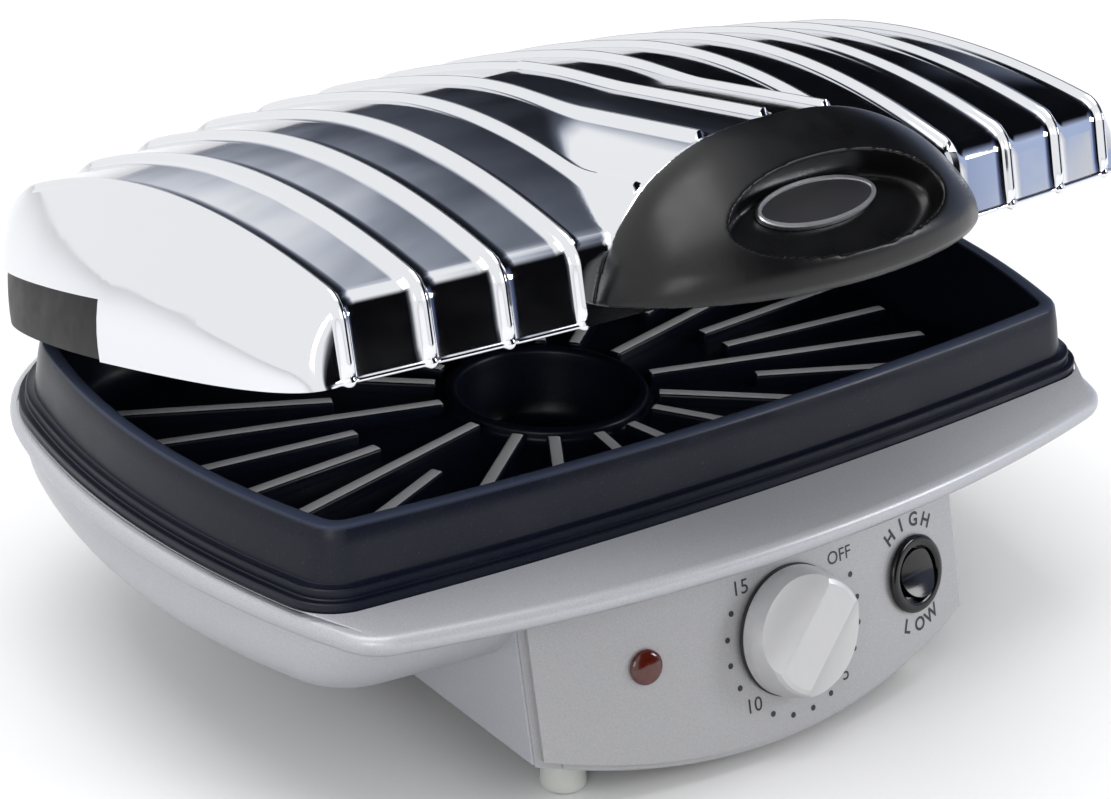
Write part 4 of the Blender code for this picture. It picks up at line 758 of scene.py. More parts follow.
def soft_rubber(code):
    """Moulded translucent silicone: pale, a little clear at its edges, with a dull skin."""
    finish = new_finish("Pale silicone", linear(code), Roughness=0.42, IOR=1.41, Subsurface_Weight=0.35,
                        Subsurface_Scale=4 * MM)
    return vary(finish, ("Normal", (0.8, 2), 0.02, 0.5))


def turned_steel(name, code, roughness):
    """Zinc-plated or bright steel: turned or drawn, so its grain is fine and its shine uneven."""
    cloud = (3, 4)
    return vary(new_finish(name, linear(code), Metallic=1.0, Roughness=roughness),
                ("Roughness", cloud, roughness - 0.06, roughness + 0.1), ("Base Color", cloud, 1, 0.8))


def print_ink(colour):
    """Pad-printed ink: flat, dark grey, with the paint's flake showing faintly through."""
    return vary(new_finish("Pad-printed ink", colour, Roughness=0.5), ("Base Color", (0.5, 2), 1, 1.35))


FINISHES = {}


class GrillPiece:
    """What the operators of this file share."""
    bl_options = {"REGISTER", "UNDO"}


class GRILL_OT_finishes(GrillPiece, bpy.types.Operator):
    """Make every finish of the grill"""
    bl_idname = "grill.finishes"
    bl_label = "Finishes"

    def execute(self, context):
        colours = context.scene.grill_colours
        FINISHES.update(
            chrome=chromium_plate(colours.chrome),
            silver=metallic_paint(colours.silver, "Silver lacquer", 0.36, 0.25, 0.2),
            panel=metallic_paint(colours.panel, "Grey silver lacquer", 0.42, 0.2, 0.4),
            coating=nonstick(colours.coating),
            # The cooking ribs' tops: near-white and hardly metallic, a painted highlight.
            rib=ground_metal_and_rib_highlight("Rib tops painted highlight", "#FAFBFF", 0.45, 0.1),
            rim=ground_metal_and_rib_highlight("Satin nickel rim", "#E9EAEE", 0.38),
            satin=fine_grained(colours.black, "Satin black nylon", 0.30, 0.02),
            skirt=fine_grained(scaled(colours.black, 0.8), "Matt skirt nylon", 0.42, 0.02, 0.16),
            gloss=fine_grained(scaled(colours.black, 0.7), "Gloss black nylon", 0.13, 0.004),
            matt=fine_grained(linear("#232325"), "Matt black nylon", 0.55, 0.03),
            knob=knob_plastic(colours.knob),
            lens=lens_plastic(colours.lens),
            rubber=soft_rubber("#DDE0DA"),
            steel=turned_steel("Bright zinc steel", "#B8B9BC", 0.3),
            element=turned_steel("Blued element steel", "#4A474B", 0.4),
            pan=ground_metal_and_rib_highlight("Rolled aluminium", "#C9CACC", 0.34),
            liner=fine_grained(linear("#2B2D34"), "Baked liner enamel", 0.3, 0.01),
            pale=fine_grained(linear("#D5D2C6"), "Pale nylon", 0.45, 0.02),
            ink=print_ink(colours.ink),
            field=fine_grained(linear("#2C2C30"), "Dark etched field", 0.4, 0.02),
        )
        return {"FINISHED"}


class GRILL_OT_lid(GrillPiece, bpy.types.Operator):
    """Press the chrome lid with its raised ribs and hood, and its dark frame and liner"""
    bl_idname = "grill.lid"
    bl_label = "Lid"

    def execute(self, context):
        sizes = context.scene.grill_sizes
        lid = lid_skin("lid_skin", (0, True, sizes.crease), sizes.rib_height, sizes.rib_width)
        cut_lid(lid, LID_NOTCH)
        modify(lid, "SOLIDIFY", thickness=1.2 * MM, offset=-1, use_even_offset=False)
        settle(lid, LID_FRAME)
        finish_piece(lid, "lid", "chrome", ("lid_shell",), 50)

        skirt = lid_skin("lid_skirt", (SKIRT_INSET, False, 0), 0, sizes.rib_width, 0.5)
        cut_lid(skirt, SKIRT_NOTCH, False)
        modify(skirt, "SOLIDIFY", thickness=1.6 * MM, offset=-1)
        settle(skirt, LID_FRAME)
        finish_piece(skirt, "lid", "skirt", ("lid_frame",))
        refined("lid_liner", "liner", 0, "liner")
        return {"FINISHED"}


def arch_half_width(height, outset):
    """Half the width of the hood's arch at a height."""
    share = (height + HOOD_ROOT) / (HOOD_HIGH + HOOD_ROOT + outset)
    return (HOOD_WIDE + outset) * max(1 - min(share, 1) ** HOOD_POWER, 0) ** (1 / HOOD_POWER)


def handle_foot(x):
    """Height of the handle's lower edge."""
    return 0.4 * MM + 5.2 * MM * (x / HOOD_WIDE) ** 2


def handle_solid(name, inset, back, drop, levels, steps):
    """The handle's bulging form as a closed solid."""
    outset = BEAD - inset
    top = HOOD_HIGH + outset
    full = REACH - inset
    rings = []
    stations = [(0, drop)] if drop else []
    stations += [(sin(pi / 2 * step / levels) ** 0.9, 0) for step in range(levels)] + [(0.9995, 0)]
    for share, lower in stations:
        level = top * share
        fade = (1 - share) ** 2
        half = arch_half_width(level + HANDLE_FLARE * fade, outset)
        if level < NOSE:
            depth = full - NOSE_BACK * (1 - sqrt(1 - (1 - level / NOSE) ** 2))
        else:
            rise = (level - NOSE) / (top - NOSE)
            depth = full * max(1 - rise ** HANDLE_FALL, 0) ** (1 / HANDLE_FALL)
        front, behind = [], []
        for index in range(steps + 1):
            angle = pi * index / steps
            x = -half * (1 if cos(angle) > 0 else -1) * abs(cos(angle)) ** (2 / HANDLE_POWER)
            stand = depth * max(sin(angle), 0) ** (2 / HANDLE_POWER)
            face = front_at(x) - 0.3 * MM
            height = level + handle_foot(x) * fade + lower
            front.append((x, face - stand, height))
            behind.insert(0, (x, face + back, height))
        rings.append(front + (behind if back else behind[1:-1]))
    return sheet(name, rings, wrap=True, caps=True)


def recess_tool(half_width, half_height, low, draft):
    """An oval plug for the handle's recess, narrower at its floor."""
    turns = [2 * pi * index / 96 for index in range(96)]
    levels = ((low, 1 - draft), (low + 1.5 * MM, 1 - draft / 3), (0, 1), (40 * MM, 1.0 + draft))
    rows = [[(half_width * share * cos(turn), half_height * share * sin(turn), level) for turn in turns]
            for level, share in levels]
    return settle(sheet("recess_tool", rows, wrap=True, caps=True), RECESS_PLACE @ RECESS_TURN)


class GRILL_OT_handle(GrillPiece, bpy.types.Operator):
    """Mould the black handle with its finger recess, and the bare badge in it"""
    bl_idname = "grill.handle"
    bl_label = "Handle"

    def execute(self, context):
        wider = 2.4 * MM
        cover = handle_solid("handle_form", 0, 0, 0, 40, 64)
        hollow = handle_solid("handle_hollow", 2.8 * MM, 4 * MM, -12 * MM, 24, 40)
        boolean(hollow, recess_tool(RECESS[0] + wider, RECESS[1] + wider, -12 * MM, 0.0))
        boolean(cover, hollow)
        boolean(cover, recess_tool(*RECESS, -9.7 * MM, 0.10))
        modify(cover, "REMESH", mode="VOXEL", voxel_size=0.65 * MM, use_smooth_shade=True)
        modify(cover, "SMOOTH", factor=0.5, iterations=5)
        settle(cover, LID_FRAME)
        finish_piece(cover, "lid", "satin", ("handle_cover",), 80)

        bpy.ops.mesh.primitive_circle_add(vertices=96, radius=1, fill_type="NGON")
        badge = bpy.context.object
        badge.name = "badge"
        badge.scale = (*BADGE, 1)
        settle(badge)
        bpy.ops.object.mode_set(mode="EDIT")
        bpy.ops.mesh.select_all(action="SELECT")
        bpy.ops.mesh.extrude_region_move(TRANSFORM_OT_translate={"value": (0, 0, BADGE_THICK)})
        for thickness, depth in ((0.3, 0.35), (0.9, 0), (0.2, -0.45)):
            bpy.ops.mesh.inset(thickness=thickness * MM, depth=depth * MM)
        bpy.ops.object.mode_set(mode="OBJECT")
        reshape(badge, lambda bm: bmesh.ops.recalc_face_normals(bm, faces=bm.faces))
        field = [face.index for face in badge.data.polygons
                 if len(face.vertices) > 8 and face.normal.z > 0.5]
        settle(badge, LID_FRAME @ RECESS_PLACE @ RECESS_TURN @ Matrix.Translation(BADGE_SPOT))
        finish_piece(badge, "lid", "rim", ("badge_plate",), 30)
        second_finish(badge, "field", field)
        return {"FINISHED"}


def radial_reach(outline, angle):
    """How far an outline lies from the middle along an angle."""
    aim = (cos(angle), sin(angle))
    for first, second in zip(outline, outline[1:] + outline[:1]):
        side = first[0] * aim[1] - first[1] * aim[0]
        other = second[0] * aim[1] - second[1] * aim[0]
        if side * other <= 0 and side != other:
            share = side / (side - other)
            x = first[0] + share * (second[0] - first[0])
            y = first[1] + share * (second[1] - first[1])
            if x * aim[0] + y * aim[1] > 0:
                return hypot(x, y)
    raise RuntimeError("an outline doesn't go round the plate's middle")


class GRILL_OT_plate(GrillPiece, bpy.types.Operator):
    """Cast the deep cooking plate with its flange, radial ribs and water cup"""
    bl_idname = "grill.plate"
    bl_label = "Grill plate"

    def execute(self, context):
        # Wall and flange as (outset from the rim's outline, height over the rim), in mm
        steps = [(-FLOOR_INSET, -34.5), (-8, -34.5), (-2, -31), (1.4, -22.3), (7.0, -22.3), (7.0, -19.1),
                 (6.7, -18.8), (5.3, -18.8), (5.0, -18.5), (5.0, -16.1), (4.7, -15.8), (3.1, -15.8),
                 (2.6, -15.4), (2.0, -12), (1.2, -6), (0.3, -1.2), (0.0, -0.7), (-0.25, -0.25), (-0.8, 0),
                 (-3.2, 0), (-3.75, -0.25), (-4.0, -0.8), (-4.3, -4), (-5.3, -13), (-6.3, -20), (-7.2, -25),
                 (-8.3, -28), (-10.3, -30.1), (-12.8, -30.85), (-FLOOR_INSET, -31)]
        rings = [at_plate(outline_of(PLATE_FORM, outset * MM), RIM + level * MM) for outset, level in steps]
        angles = [atan2(point[1] - PLATE_Y, point[0]) for point in rings[-1]]
        # Underside and cup as (radius, height over the rim), in mm
        under = [(0, -53.5), (19.6, -53.5), (24.0, -52.4), (27.2, -49.6), (28.8, -45.6), (31.0, -34.5)]
        cup = [(34.6, -31), (33.2, -30.85), (32.4, -30.3), (32.05, -29.4), (32.0, -28.3), (31.6, -27.5),
               (30.9, -27.08), (30.0, -27.0), (29.0, -27.15), (28.3, -27.7), (28.0, -28.6), (27.6, -31),
               (26.9, -34.5), (25.9, -39), (24.9, -43.5), (23.9, -46.8), (22.3, -49.1), (20.2, -50.2),
               (18.0, -50.5), (9.0, -50.5), (0, -50.5)]
        turned = [[[(radius * MM * cos(angle), PLATE_Y + radius * MM * sin(angle), RIM + level * MM)
                    for angle in angles] for radius, level in profile] for profile in (under, cup)]
        plate = sheet("plate_casting", turned[0] + rings + turned[1], wrap=True)
        finish_piece(plate, "base", "coating", ("grill_plate",))

        outline = outline_of(PLATE_FORM, -FLOOR_INSET * MM)
        wide = context.scene.grill_sizes.rib_top / 2
        floor = -PLATE_DEPTH
        bars = []
        # Long and short ribs: their headings in a quarter, and the radius at which they start, in mm
        for headings, start in (((15.0, 39.0, 57.0, 80.0), 34.5), ((5.0, 25.0), 67.0)):
            for heading in [turn for base in headings for turn in (base, 180 - base, 180 + base, -base)]:
                turn = radians(heading)
                end = radial_reach(outline, turn) - 3 * MM
                bar = block((start * MM, -wide, floor - 1 * MM), (end, wide, floor + 4 * MM))
                modify(bar, "BEVEL", width=1.1 * MM, segments=3, limit_method="NONE")
                place = Matrix.Translation((0, PLATE_Y, RIM)) @ Matrix.Rotation(turn, 4, "Z")
                bars.append(settle(bar, place))
        ribs = joined(bars, "plate_ribs")
        finish_piece(ribs, "base", "coating")
        # The ribs' upward faces take the near-white painted highlight.
        second_finish(ribs, "rib", [face.index for face in ribs.data.polygons
                                    if face.normal.z > 0.85 and face.center.z > RIM + floor])
        return {"FINISHED"}


def front_line(level, setback, half_width, steps=48):
    """The bowed front line of the control panel at a height."""
    places = [half_width * (2 * index / steps - 1) for index in range(steps + 1)]
    return [(x, panel_y(x, level) + setback, level) for x in places]


def pedestal_outline(level, setback, inset):
    """The pedestal's outline: the bowed front, two flat sides and round rear corners."""
    half_width = PANEL_WIDE - inset
    rear = PLATE_Y + 88 * MM - inset
    corner = 12 * MM - inset
    sides = arc((half_width - corner, rear - corner), corner, 0, pi / 2, 12) + [(half_width - corner, rear)]
    sides += arc((-half_width + corner, rear - corner), corner, pi / 2, pi, 12)
    sides.append((-half_width, rear - corner))
    return front_line(level, setback, half_width) + [(x, y, level) for x, y in sides]


class GRILL_OT_base(GrillPiece, bpy.types.Operator):
    """Mould the silver base: its ledge, the curved tray and the pedestal under it"""
    bl_idname = "grill.base"
    bl_label = "Base"

    def execute(self, context):
        under = LEDGE - LEDGE_THICK
        shoulder = under - 2.5 * MM
        # The ledge's rounded edge as (outset from its outline, height over its face), in mm
        edge = [(-2.8, -1.8), (-1.75, -2.0), (-0.85, -2.6), (-0.2, -3.5), (0, -4.6), (-0.1, -5.6),
                (-0.45, -6.7), (-1.3, -7.9), (-2.8, -8.5)]
        turns = [pi / 2 * step / 18 for step in range(19)]
        curves = []
        for thick in (0, BASE_WALL):
            drop = shoulder - TRAY_FLOOR - thick
            insets = [thick + (TRAY_RUN - thick) * (1 - cos(turn)) ** 1.15 for turn in turns]
            curves.append([at_plate(outline_of(TRAY_FORM, -inset, tucked), shoulder - drop * sin(turn))
                           for inset, turn in zip(insets, turns)])
        rings = [at_plate(outline_of(PLATE_FORM, SEAT_GAP + 0.3 * MM), LEDGE)]
        rings += [at_plate(outline_of(LEDGE_FORM, outset * MM), LEDGE + level * MM) for outset, level in edge]
        base = sheet("base_moulding", rings + curves[0], True, True)
        solid = [pedestal_outline(level, 0, 0) for level in (FOOT, under + 2.5 * MM)]
        boolean(base, sheet("pedestal_block", solid, True, True), "UNION")
        wide = PANEL_WIDE + 0.6 * MM
        recess = [front_line(level, -4 * MM, wide) + front_line(level, 2.8 * MM, wide)[::-1]
                  for level in (FOOT - 4 * MM, SEAM)]
        boolean(base, sheet("panel_recess", recess, True, True))
        seat = ((SEAT_GAP, 4 * MM), (SEAT_GAP, -1.3 * MM), (SEAT_GAP - SEAT_LIP, -1.3 * MM),
                (SEAT_GAP - SEAT_LIP, -3.5 * MM))
        cavity = [at_plate(outline_of(PLATE_FORM, outset), LEDGE + level) for outset, level in seat]
        boolean(base, sheet("tray_hollow", cavity + curves[1], True, True))
        hollow = [pedestal_outline(level, 5 * MM, BASE_WALL) for level in (FOOT - 4 * MM, TRAY_FLOOR)]
        boolean(base, sheet("pedestal_hollow", hollow, True, True))
        finish_piece(base, "base", "silver", ("base_shell",))
        return {"FINISHED"}


def panel_bottom(x):
    """Height of the panel's smile-shaped lower edge."""
    return 5.5 * MM + 12.5 * MM * (x / PANEL_WIDE) ** 2


def face_forward(bm):
    """Turn an open sheet's faces to the front."""
    if sum(face.normal.y for face in bm.faces) > 0:
        bmesh.ops.reverse_faces(bm, faces=bm.faces)


class GRILL_OT_panel(GrillPiece, bpy.types.Operator):
    """Mould the curved control panel with its smile-shaped lower edge"""
    bl_idname = "grill.panel"
    bl_label = "Control panel"

    def execute(self, context):
        top = SEAM - 0.3 * MM
        across = [PANEL_WIDE * (2 * index / 64 - 1) for index in range(65)]
        rows = []
        for down in range(9):
            levels = [top + (panel_bottom(x) - top) * down / 8 for x in across]
            rows.append([(x, panel_y(x, level), level) for x, level in zip(across, levels)])
        panel = sheet("panel_face", rows)
        reshape(panel, face_forward)
        modify(panel, "SOLIDIFY", thickness=PANEL_THICK, offset=-1)

        def round_edges(bm):
            sharp = [edge for edge in bm.edges if edge.calc_face_angle(0) > radians(50)
                     and all(vert.co.y < panel_y(vert.co.x, vert.co.z) + 1 * MM for vert in edge.verts)
                     and min(vert.co.z for vert in edge.verts) < top - 1 * MM]
            bmesh.ops.bevel(bm, geom=sharp, offset=2.1 * MM, segments=6, affect="EDGES", clamp_overlap=True)

        reshape(panel, round_edges)
        for spot, radius in ((LAMP_SPOT, 4.3), (SHAFT_SPOT, 4.0), (SWITCH_SPOT, 10.1)):
            boolean(panel, settle(rod(radius * MM, -8 * MM, 4 * MM), panel_frame(*spot)))
        chin = []
        for x in [PANEL_WIDE * 0.9 * (2 * index / 32 - 1) for index in range(33)]:
            low = panel_bottom(x) + 0.2 * MM
            high = FOOT - 0.3 * MM
            near_low = panel_y(x, low) + 1.4 * MM
            near_high = panel_y(x, high) + 1.4 * MM
            chin.append([(x, near_low, low), (x, near_low + 7.8 * MM, low + (high - low) / 3),
                         (x, near_high + 7.8 * MM, high), (x, near_high, high)])
        joined([panel, sheet("panel_chin", chin, True, True)], "panel_face")
        finish_piece(panel, "base", "panel", ("control_panel",))
        return {"FINISHED"}


def on_panel(item, frame_at):
    """Bend a flat printed mark onto the panel, a hair proud of it."""
    settle(item, frame_at)
    for vert in item.data.vertices:
        vert.co.y = panel_y(vert.co.x, vert.co.z) - 0.06 * MM
    return item


def printed_word(word, height, frame_at, weight):
    """A word printed on the panel, its strokes thickened by a weight."""
    bpy.ops.object.text_add(location=(0, 0, 0))
    item = bpy.context.object
    settings = {"body": word, "size": height * TEXT_SIZE, "align_x": "CENTER", "align_y": "CENTER",
                "offset": weight, "resolution_u": 3}
    for key, value in settings.items():
        setattr(item.data, key, value)
    focus(item)
    bpy.ops.object.convert(target="MESH")
    return on_panel(bpy.context.object, frame_at)


class GRILL_OT_marks(GrillPiece, bpy.types.Operator):
    """Print the dial's dots and figures, and the two words of the switch"""
    bl_idname = "grill.marks"
    bl_label = "Printed marks"

    def execute(self, context):
        sizes = context.scene.grill_sizes
        marks = []
        for minute in range(16):
            word = {0: "OFF", 5: "5", 10: "10", 15: "15"}.get(minute)
            reach = DOT_RING + (0.4 * MM if word else 0)
            spot = round_frame(panel_frame(*DOT_SPOT), reach, DOT_START - DOT_STEP * minute)
            if word:
                marks.append(printed_word(word, sizes.letter * (1 if minute else 0.9), spot, 0.03 * MM))
            else:
                bpy.ops.mesh.primitive_circle_add(vertices=20, radius=sizes.dot, fill_type="NGON")
                marks.append(on_panel(bpy.context.object, spot))
        for word, side in (("HIGH", 1), ("LOW", -1)):
            for index, letter in enumerate(word):
                offset = side * (index - (len(word) - 1) / 2) * WORD_STEP
                spot = round_frame(panel_frame(*SWITCH_SPOT), WORD_RING, side * pi / 2 - offset)
                spot = spot @ Matrix.Rotation(-offset, 4, "Z")
                marks.append(printed_word(letter, 4.4 * MM, spot, 0.16 * MM))
        finish_piece(joined(marks, "panel_marks"), "base", "ink", (), 30)
        return {"FINISHED"}


class GRILL_OT_knob(GrillPiece, bpy.types.Operator):
    """Mould the timer's knob with its two scooped flanks"""
    bl_idname = "grill.knob"
    bl_label = "Knob"

    def execute(self, context):
        profile = [(0, 1.0), (18.4, 1.0), (19.1, 1.2), (19.4, 1.8), (19.4, 4.6), (19.2, 5.5), (18.3, 9.2),
                   (17.8, 11.2), (17.0, 12.4), (15.6, 12.9), (13.0, 13.0), (6.0, 13.0), (0, 13.0)]
        knob = lathe("knob_form", profile, 128)
        reach = sqrt(FLANK_RADIUS ** 2 - (FLANK_RADIUS - FLANK_DEPTH) ** 2)
        for side in (-1, 1):
            flank = rod(FLANK_RADIUS, -40 * MM, 40 * MM, 160)
            spot = (side * (GRIP_HALF + reach), 0, GRIP_HIGH - FLANK_DEPTH + FLANK_RADIUS)
            boolean(knob, settle(flank, Matrix.Translation(spot) @ Matrix.Rotation(pi / 2, 4, "X")))
        modify(knob, "BEVEL", width=0.7 * MM, segments=4, limit_method="ANGLE", angle_limit=radians(14))
        place = upright_frame(DIAL_SPOT, DIAL_OUT) @ Matrix.Rotation(OFF_ANGLE - pi / 2, 4, "Z")
        settle(knob, place)
        finish_piece(knob, "timer", "knob", ("timer_knob",), 45)
        # A black ring under the knob's rim: painted shadow in the gap between the knob and the panel.
        foot = [(4.0, 0.4), (19.5, 0.4), (19.7, 0.55), (19.7, 1.0), (19.5, 1.15), (4.0, 1.15), (4.0, 0.4)]
        ring = settle(lathe("knob_shadow_ring", foot), place)
        finish_piece(ring, "timer", "matt")
        return {"FINISHED"}


class GRILL_OT_switch(GrillPiece, bpy.types.Operator):
    """Mould the round switch with its bezel, the rocker in it and the lamp's lens"""
    bl_idname = "grill.switch"
    bl_label = "Switch and lamp"

    def execute(self, context):
        switch_at = panel_frame(*SWITCH_SPOT)
        profile = [(0, -18.0), (9.4, -18.0), (9.8, -17.6), (9.8, 0.3), (11.7, 0.3), (12.0, 0.6), (12.0, 1.2),
                   (11.6, 1.85), (10.9, 2.1), (9.3, 2.1), (8.75, 1.8), (8.6, 1.3), (8.6, -5.9), (0, -5.9)]
        body = settle(lathe("switch_ring", profile), switch_at)
        finish_piece(body, "base", "gloss", ("switch_body",))

        profile = [(0, -3.0), (7.2, -3.0), (7.5, -2.7), (7.5, 3.6), (7.1, 4.2), (0, 4.2)]
        rocker = lathe("rocker_form", profile)
        radius = (ROCKER_RADIUS ** 2 + ROCKER_DISH ** 2) / (2 * ROCKER_DISH)
        lift = Matrix.Translation((0, 0, ROCKER_TOP - ROCKER_DISH + radius))
        boolean(rocker, settle(rod(radius, -12 * MM, 12 * MM, 160), lift @ Matrix.Rotation(pi / 2, 4, "Y")))
        modify(rocker, "BEVEL", width=0.35 * MM, segments=3, limit_method="ANGLE", angle_limit=radians(30))
        out = Matrix.Rotation(ROCKER_LEAN, 3, ROCKER_AXIS) @ switch_at.col[2].to_3d()
        settle(rocker, upright_frame(ROCKER_SPOT, out))
        finish_piece(rocker, "rocker", "gloss", ("rocker",))

        profile = [(0, -5.0), (4.0, -5.0), (4.0, 0.3), (5.1, 0.3), (5.2, 0.5), (5.15, 0.9), (4.8, 1.4),
                   (3.9, 1.8), (2.4, 2.1), (0.9, 2.2), (0, 2.2)]
        lens = settle(lathe("lens_form", profile), panel_frame(*LAMP_SPOT))
        finish_piece(lens, "base", "lens", ("lamp_lens",))
        return {"FINISHED"}


class GRILL_OT_fittings(GrillPiece, bpy.types.Operator):
    """Round the edges of the small fittings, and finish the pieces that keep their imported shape"""
    bl_idname = "grill.fittings"
    bl_label = "Small fittings"

    def execute(self, context):
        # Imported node, the new piece's name, how far its edges are rounded, in mm, and its finish
        hinge = (("bracket", "silver"), ("arm", "satin"))
        rounded = [(f"hinge_{part}_{side}", f"{part}_{side}", 0.6, finish)
                   for part, finish in hinge for side in ("left", "right")]
        rounded += [("bottom_cover", "cover_sheet", 0.4, "matt"), ("cord_gland", "gland_collar", 0.4, "matt"),
                    ("handle_back", "handle_lining", 0.3, "matt"),
                    ("terminal_block", "terminals", 0.4, "pale"), ("timer_body", "timer_case", 0.0, "pale")]
        for row in rounded:
            refined(*row)
        foot = [(0, 0), (5.4, 0), (6.1, 0.25), (6.6, 0.8), (6.8, 1.5), (6.7, 3.0), (6.0, 17.7), (0, 17.7)]
        for place in ("front_left", "front_right", "rear_left", "rear_right"):
            spot = middle_of(f"foot_{place}")
            pad = lathe(f"pad_{place}", foot, 64)
            settle(pad, Matrix.Translation((spot.x, spot.y, 0)))
            finish_piece(pad, "base", "rubber", (f"foot_{place}",))
        screws = [f"cover_screw_{number}" for number in (1, 2, 3, 4)]
        kept = {"steel": screws + ["handle_screw_left", "handle_screw_right", "hinge_pin_left",
                                   "hinge_pin_right", "timer_shaft"],
                "element": ["heating_element"], "pan": ["reflector_pan"], "matt": ["thermostat", "lamp_body"]}
        for finish, nodes in kept.items():
            for slot in [slot for node in nodes for slot in frame["nodes"][node].material_slots]:
                slot.material = FINISHES[finish]
        return {"FINISHED"}


# The photograph's camera, about the middle of the plate's rim; its focal length and width are in pixels
CAMERA = {
    "place": (-495.56 * MM, -652.41 * MM, 358.4 * MM),
    "yaw": radians(37.414),
    "pitch": radians(25.454),
    "roll": radians(1.775),
    "focal": 2904.96,
    "wide": 1111,
}
SENSOR_WIDE = 36
# Each lamp: where it stands and what it lights, in metres, then its size and its power in watts
LAMPS = {
    "top_softbox": ((-0.35, 0.1, 2.0), (0, 0, 0.08), 1.4, 20),
    "left_softbox": ((-1.2, -1.1, 0.75), (0, 0, 0.08), 0.6, 4),
    "right_softbox": ((1.3, -1.2, 0.7), (0, 0, 0.05), 0.5, 8),
}


def surround_finish():
    """The studio that the chrome mirrors: white to the left, a dark room to the right with a pale window."""
    made = bpy.data.materials.new("Studio surround")
    made.use_nodes = True
    tree = made.node_tree
    tree.nodes.clear()
    smooth = {"interpolation_type": "SMOOTHSTEP"}
    place = add_node(tree, "TexCoord").outputs["Object"]
    aim = add_node(tree, "VectorMath", {0: place}, operation="NORMALIZE")
    parts = add_node(tree, "SeparateXYZ", {0: aim})
    across, along, up = (parts.outputs[key] for key in "XYZ")
    half, window = (add_node(tree, "MapRange", {"Value": value, "From Min": -1, "From Max": 1})
                    for value in (across, along))
    window = add_node(tree, "ValToRGB", {"Fac": window}, [
        (0, "#000000"), (0.28, "#202020"), (0.45, "#909090"), (0.60, "#FFFFFF"), (0.72, "#D0D0D0"),
        (0.82, "#606060"), (1, "#404040")])
    lean = add_node(tree, "Math", {0: window, 1: -0.13, 2: across}, operation="MULTIPLY_ADD")
    cloud = add_node(tree, "TexNoise", {"Vector": aim, "Scale": 7.0, "Detail": 3.0})
    lean = add_node(tree, "Math", {0: cloud, 1: 0.12, 2: lean}, operation="MULTIPLY_ADD")
    rear = add_node(tree, "ValToRGB", {"Fac": lean}, [
        (0.36, "#FFFFFF"), (0.41, "#CBCFD8"), (0.45, "#8E939F"), (0.50, "#555A66"), (0.58, "#262930"),
        (0.68, "#0D0E12"), (1, "#0A0B0E")])
    front = add_node(tree, "ValToRGB", {"Fac": half}, [
        (0.40, "#FFFFFF"), (0.47, "#55585F"), (0.52, "#0B0B0E"), (0.79, "#0B0B0E"), (0.86, "#5A668C"),
        (0.93, "#B4BFDA"), (1, "#E4E8F2")])
    side = add_node(tree, "MapRange", {"Value": along, "From Min": -0.5, "From Max": -0.2}, **smooth)
    both = add_node(tree, "Mix", {0: side, 6: front, 7: rear}, data_type="RGBA")
    low = add_node(tree, "MapRange", {"Value": up, "From Min": 0.34, "From Max": 0.24}, **smooth)
    right = add_node(tree, "MapRange", {"Value": across, "From Min": 0.72, "From Max": 0.84}, **smooth)
    horizon = add_node(tree, "Math", {0: low, 1: right}, operation="MULTIPLY")
    both = add_node(tree, "Mix", {0: horizon, 6: both, 7: linear("#B4C2E2")}, data_type="RGBA")
    glow = add_node(tree, "Emission", {"Color": both, "Strength": 1.0})
    add_node(tree, "OutputMaterial", {"Surface": glow})
    return made


def floor_finish():
    """Matt studio board: white to the eye and the chrome, fading to plain white in the distance."""
    white = linear("#F4F4F5")
    finish = new_finish("Studio floor", white, Roughness=0.9)
    tree, shader, place = finish[1:4]
    away = add_node(tree, "VectorMath", {0: place}, operation="LENGTH")
    far = add_node(tree, "MapRange", {"Value": away, "From Min": 0.6, "From Max": 2.2},
                   interpolation_type="SMOOTHSTEP")
    path = add_node(tree, "LightPath").outputs
    # Light bounces off a grey card under the object, while the eye and the chrome see a white floor.
    card = add_node(tree, "Mix", {0: path["Is Diffuse Ray"], 6: white, 7: linear("#A6A6A8")},
                    data_type="RGBA")
    feed(tree, card, shader.inputs["Base Color"])
    share = add_node(tree, "Math", {0: far, 1: path["Is Camera Ray"]}, operation="MULTIPLY")
    glow = add_node(tree, "Emission", {"Color": (1, 1, 1, 1), "Strength": 1.0})
    faded = add_node(tree, "MixShader", {0: share, 1: shader, 2: glow})
    feed(tree, faded, tree.nodes["Material Output"].inputs["Surface"])
    return vary(finish, ("Roughness", (1500, 1), 0.88, 0.92))


def studio_air():
    """The air as a world: white to the eye, to mirrors and through glass, and dimmer as a light."""
    world = bpy.data.worlds.new("Studio air")
    world.use_nodes = True
    tree = world.node_tree
    tree.nodes.clear()
    path = add_node(tree, "LightPath").outputs
    seen = path["Is Camera Ray"]
    for ray in ("Is Glossy Ray", "Is Transmission Ray"):
        seen = add_node(tree, "Math", {0: seen, 1: path[ray]}, operation="MAXIMUM")
    dim, bright = (add_node(tree, "Background", {"Color": (1, 1, 1, 1), "Strength": power})
                   for power in (0.74, 1.0))
    add_node(tree, "OutputWorld", {"Surface": add_node(tree, "MixShader", {0: seen, 1: dim, 2: bright})})
    return world


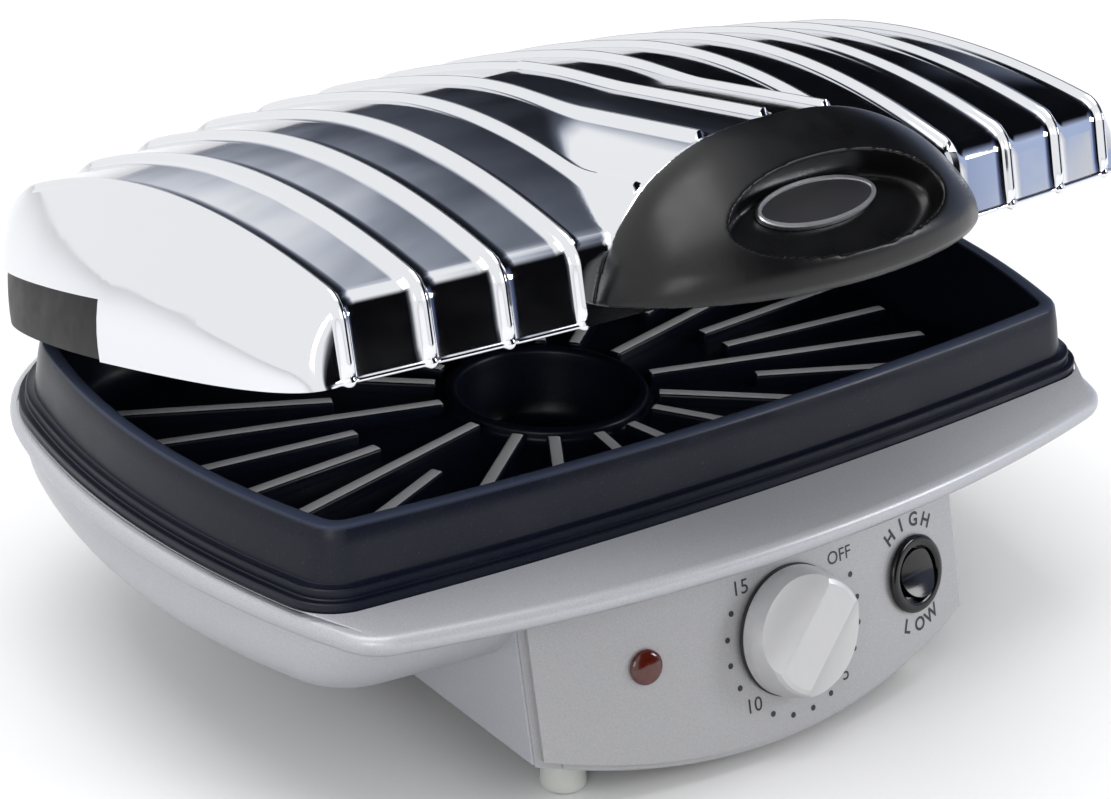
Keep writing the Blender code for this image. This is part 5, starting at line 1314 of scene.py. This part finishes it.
class GRILL_OT_stage(GrillPiece, bpy.types.Operator):
    """Set up the pale floor, the soft lights, the mirrored surround and the camera"""
    bl_idname = "grill.stage"
    bl_label = "Studio"

    def execute(self, context):
        scene = context.scene
        scene.world = studio_air()
        bpy.ops.mesh.primitive_plane_add(size=16)
        floor = bpy.context.object
        floor.name = "studio_floor"
        floor.data.materials.append(floor_finish())

        for name, (place, aim, size, power) in LAMPS.items():
            lamp = bpy.data.lights.new(name, "AREA")
            lamp.shape = "SQUARE"
            lamp.size = size
            lamp.energy = power
            item = placed(name, lamp)
            item.location = place
            item.rotation_mode = "QUATERNION"
            item.rotation_quaternion = (Vector(aim) - Vector(place)).to_track_quat("-Z", "Y")

        bpy.ops.mesh.primitive_uv_sphere_add(segments=64, ring_count=32, radius=4)
        dome = bpy.context.object
        dome.name = "studio_surround"
        dome.data.materials.append(surround_finish())
        for ray in ("camera", "diffuse", "shadow", "transmission", "volume_scatter"):
            setattr(dome, f"visible_{ray}", False)

        camera = bpy.data.cameras.new("photo_camera")
        camera.sensor_width = SENSOR_WIDE
        camera.lens = CAMERA["focal"] * SENSOR_WIDE / CAMERA["wide"]
        item = placed("photo_camera", camera)
        turn = Matrix.Rotation(-CAMERA["yaw"], 4, "Z") @ Matrix.Rotation(pi / 2 - CAMERA["pitch"], 4, "X")
        turn = turn @ Matrix.Rotation(CAMERA["roll"], 4, "Z")
        turn.translation = Vector(CAMERA["place"]) + Vector((0, PLATE_Y, RIM))
        item.matrix_world = turn
        scene.camera = item
        scene.view_settings.view_transform = "Standard"
        return {"FINISHED"}


class GRILL_PT_panel(bpy.types.Panel):
    """Lists the grill's sizes, colours and pieces in the sidebar"""
    bl_label = "Indoor grill"
    bl_idname = "GRILL_PT_panel"
    bl_space_type = "VIEW_3D"
    bl_region_type = "UI"
    bl_category = "Grill"

    def draw(self, context):
        for group in (context.scene.grill_sizes, context.scene.grill_colours):
            for key in group.bl_rna.properties.keys():
                if key not in ("rna_type", "name"):
                    self.layout.prop(group, key)
        for operator in OPERATORS:
            self.layout.operator(operator.bl_idname)


OPERATORS = (GRILL_OT_finishes, GRILL_OT_stage, GRILL_OT_lid, GRILL_OT_handle, GRILL_OT_plate, GRILL_OT_base,
             GRILL_OT_panel, GRILL_OT_marks, GRILL_OT_knob, GRILL_OT_switch, GRILL_OT_fittings)
CLASSES = (GrillSizes, GrillColours) + OPERATORS + (GRILL_PT_panel,)


def register():
    """Add the classes and the scene's properties."""
    for item in CLASSES:
        bpy.utils.register_class(item)
    bpy.types.Scene.grill_sizes = bpy.props.PointerProperty(type=GrillSizes)
    bpy.types.Scene.grill_colours = bpy.props.PointerProperty(type=GrillColours)


def unregister():
    """Take them away again."""
    del bpy.types.Scene.grill_colours
    del bpy.types.Scene.grill_sizes
    for item in reversed(CLASSES):
        bpy.utils.unregister_class(item)


def main():
    """Build every piece in order."""
    register()
    for item in OPERATORS:
        group, name = item.bl_idname.split(".")
        getattr(getattr(bpy.ops, group), name)()
    bpy.context.view_layer.update()


if __name__ == "__main__":
    main()
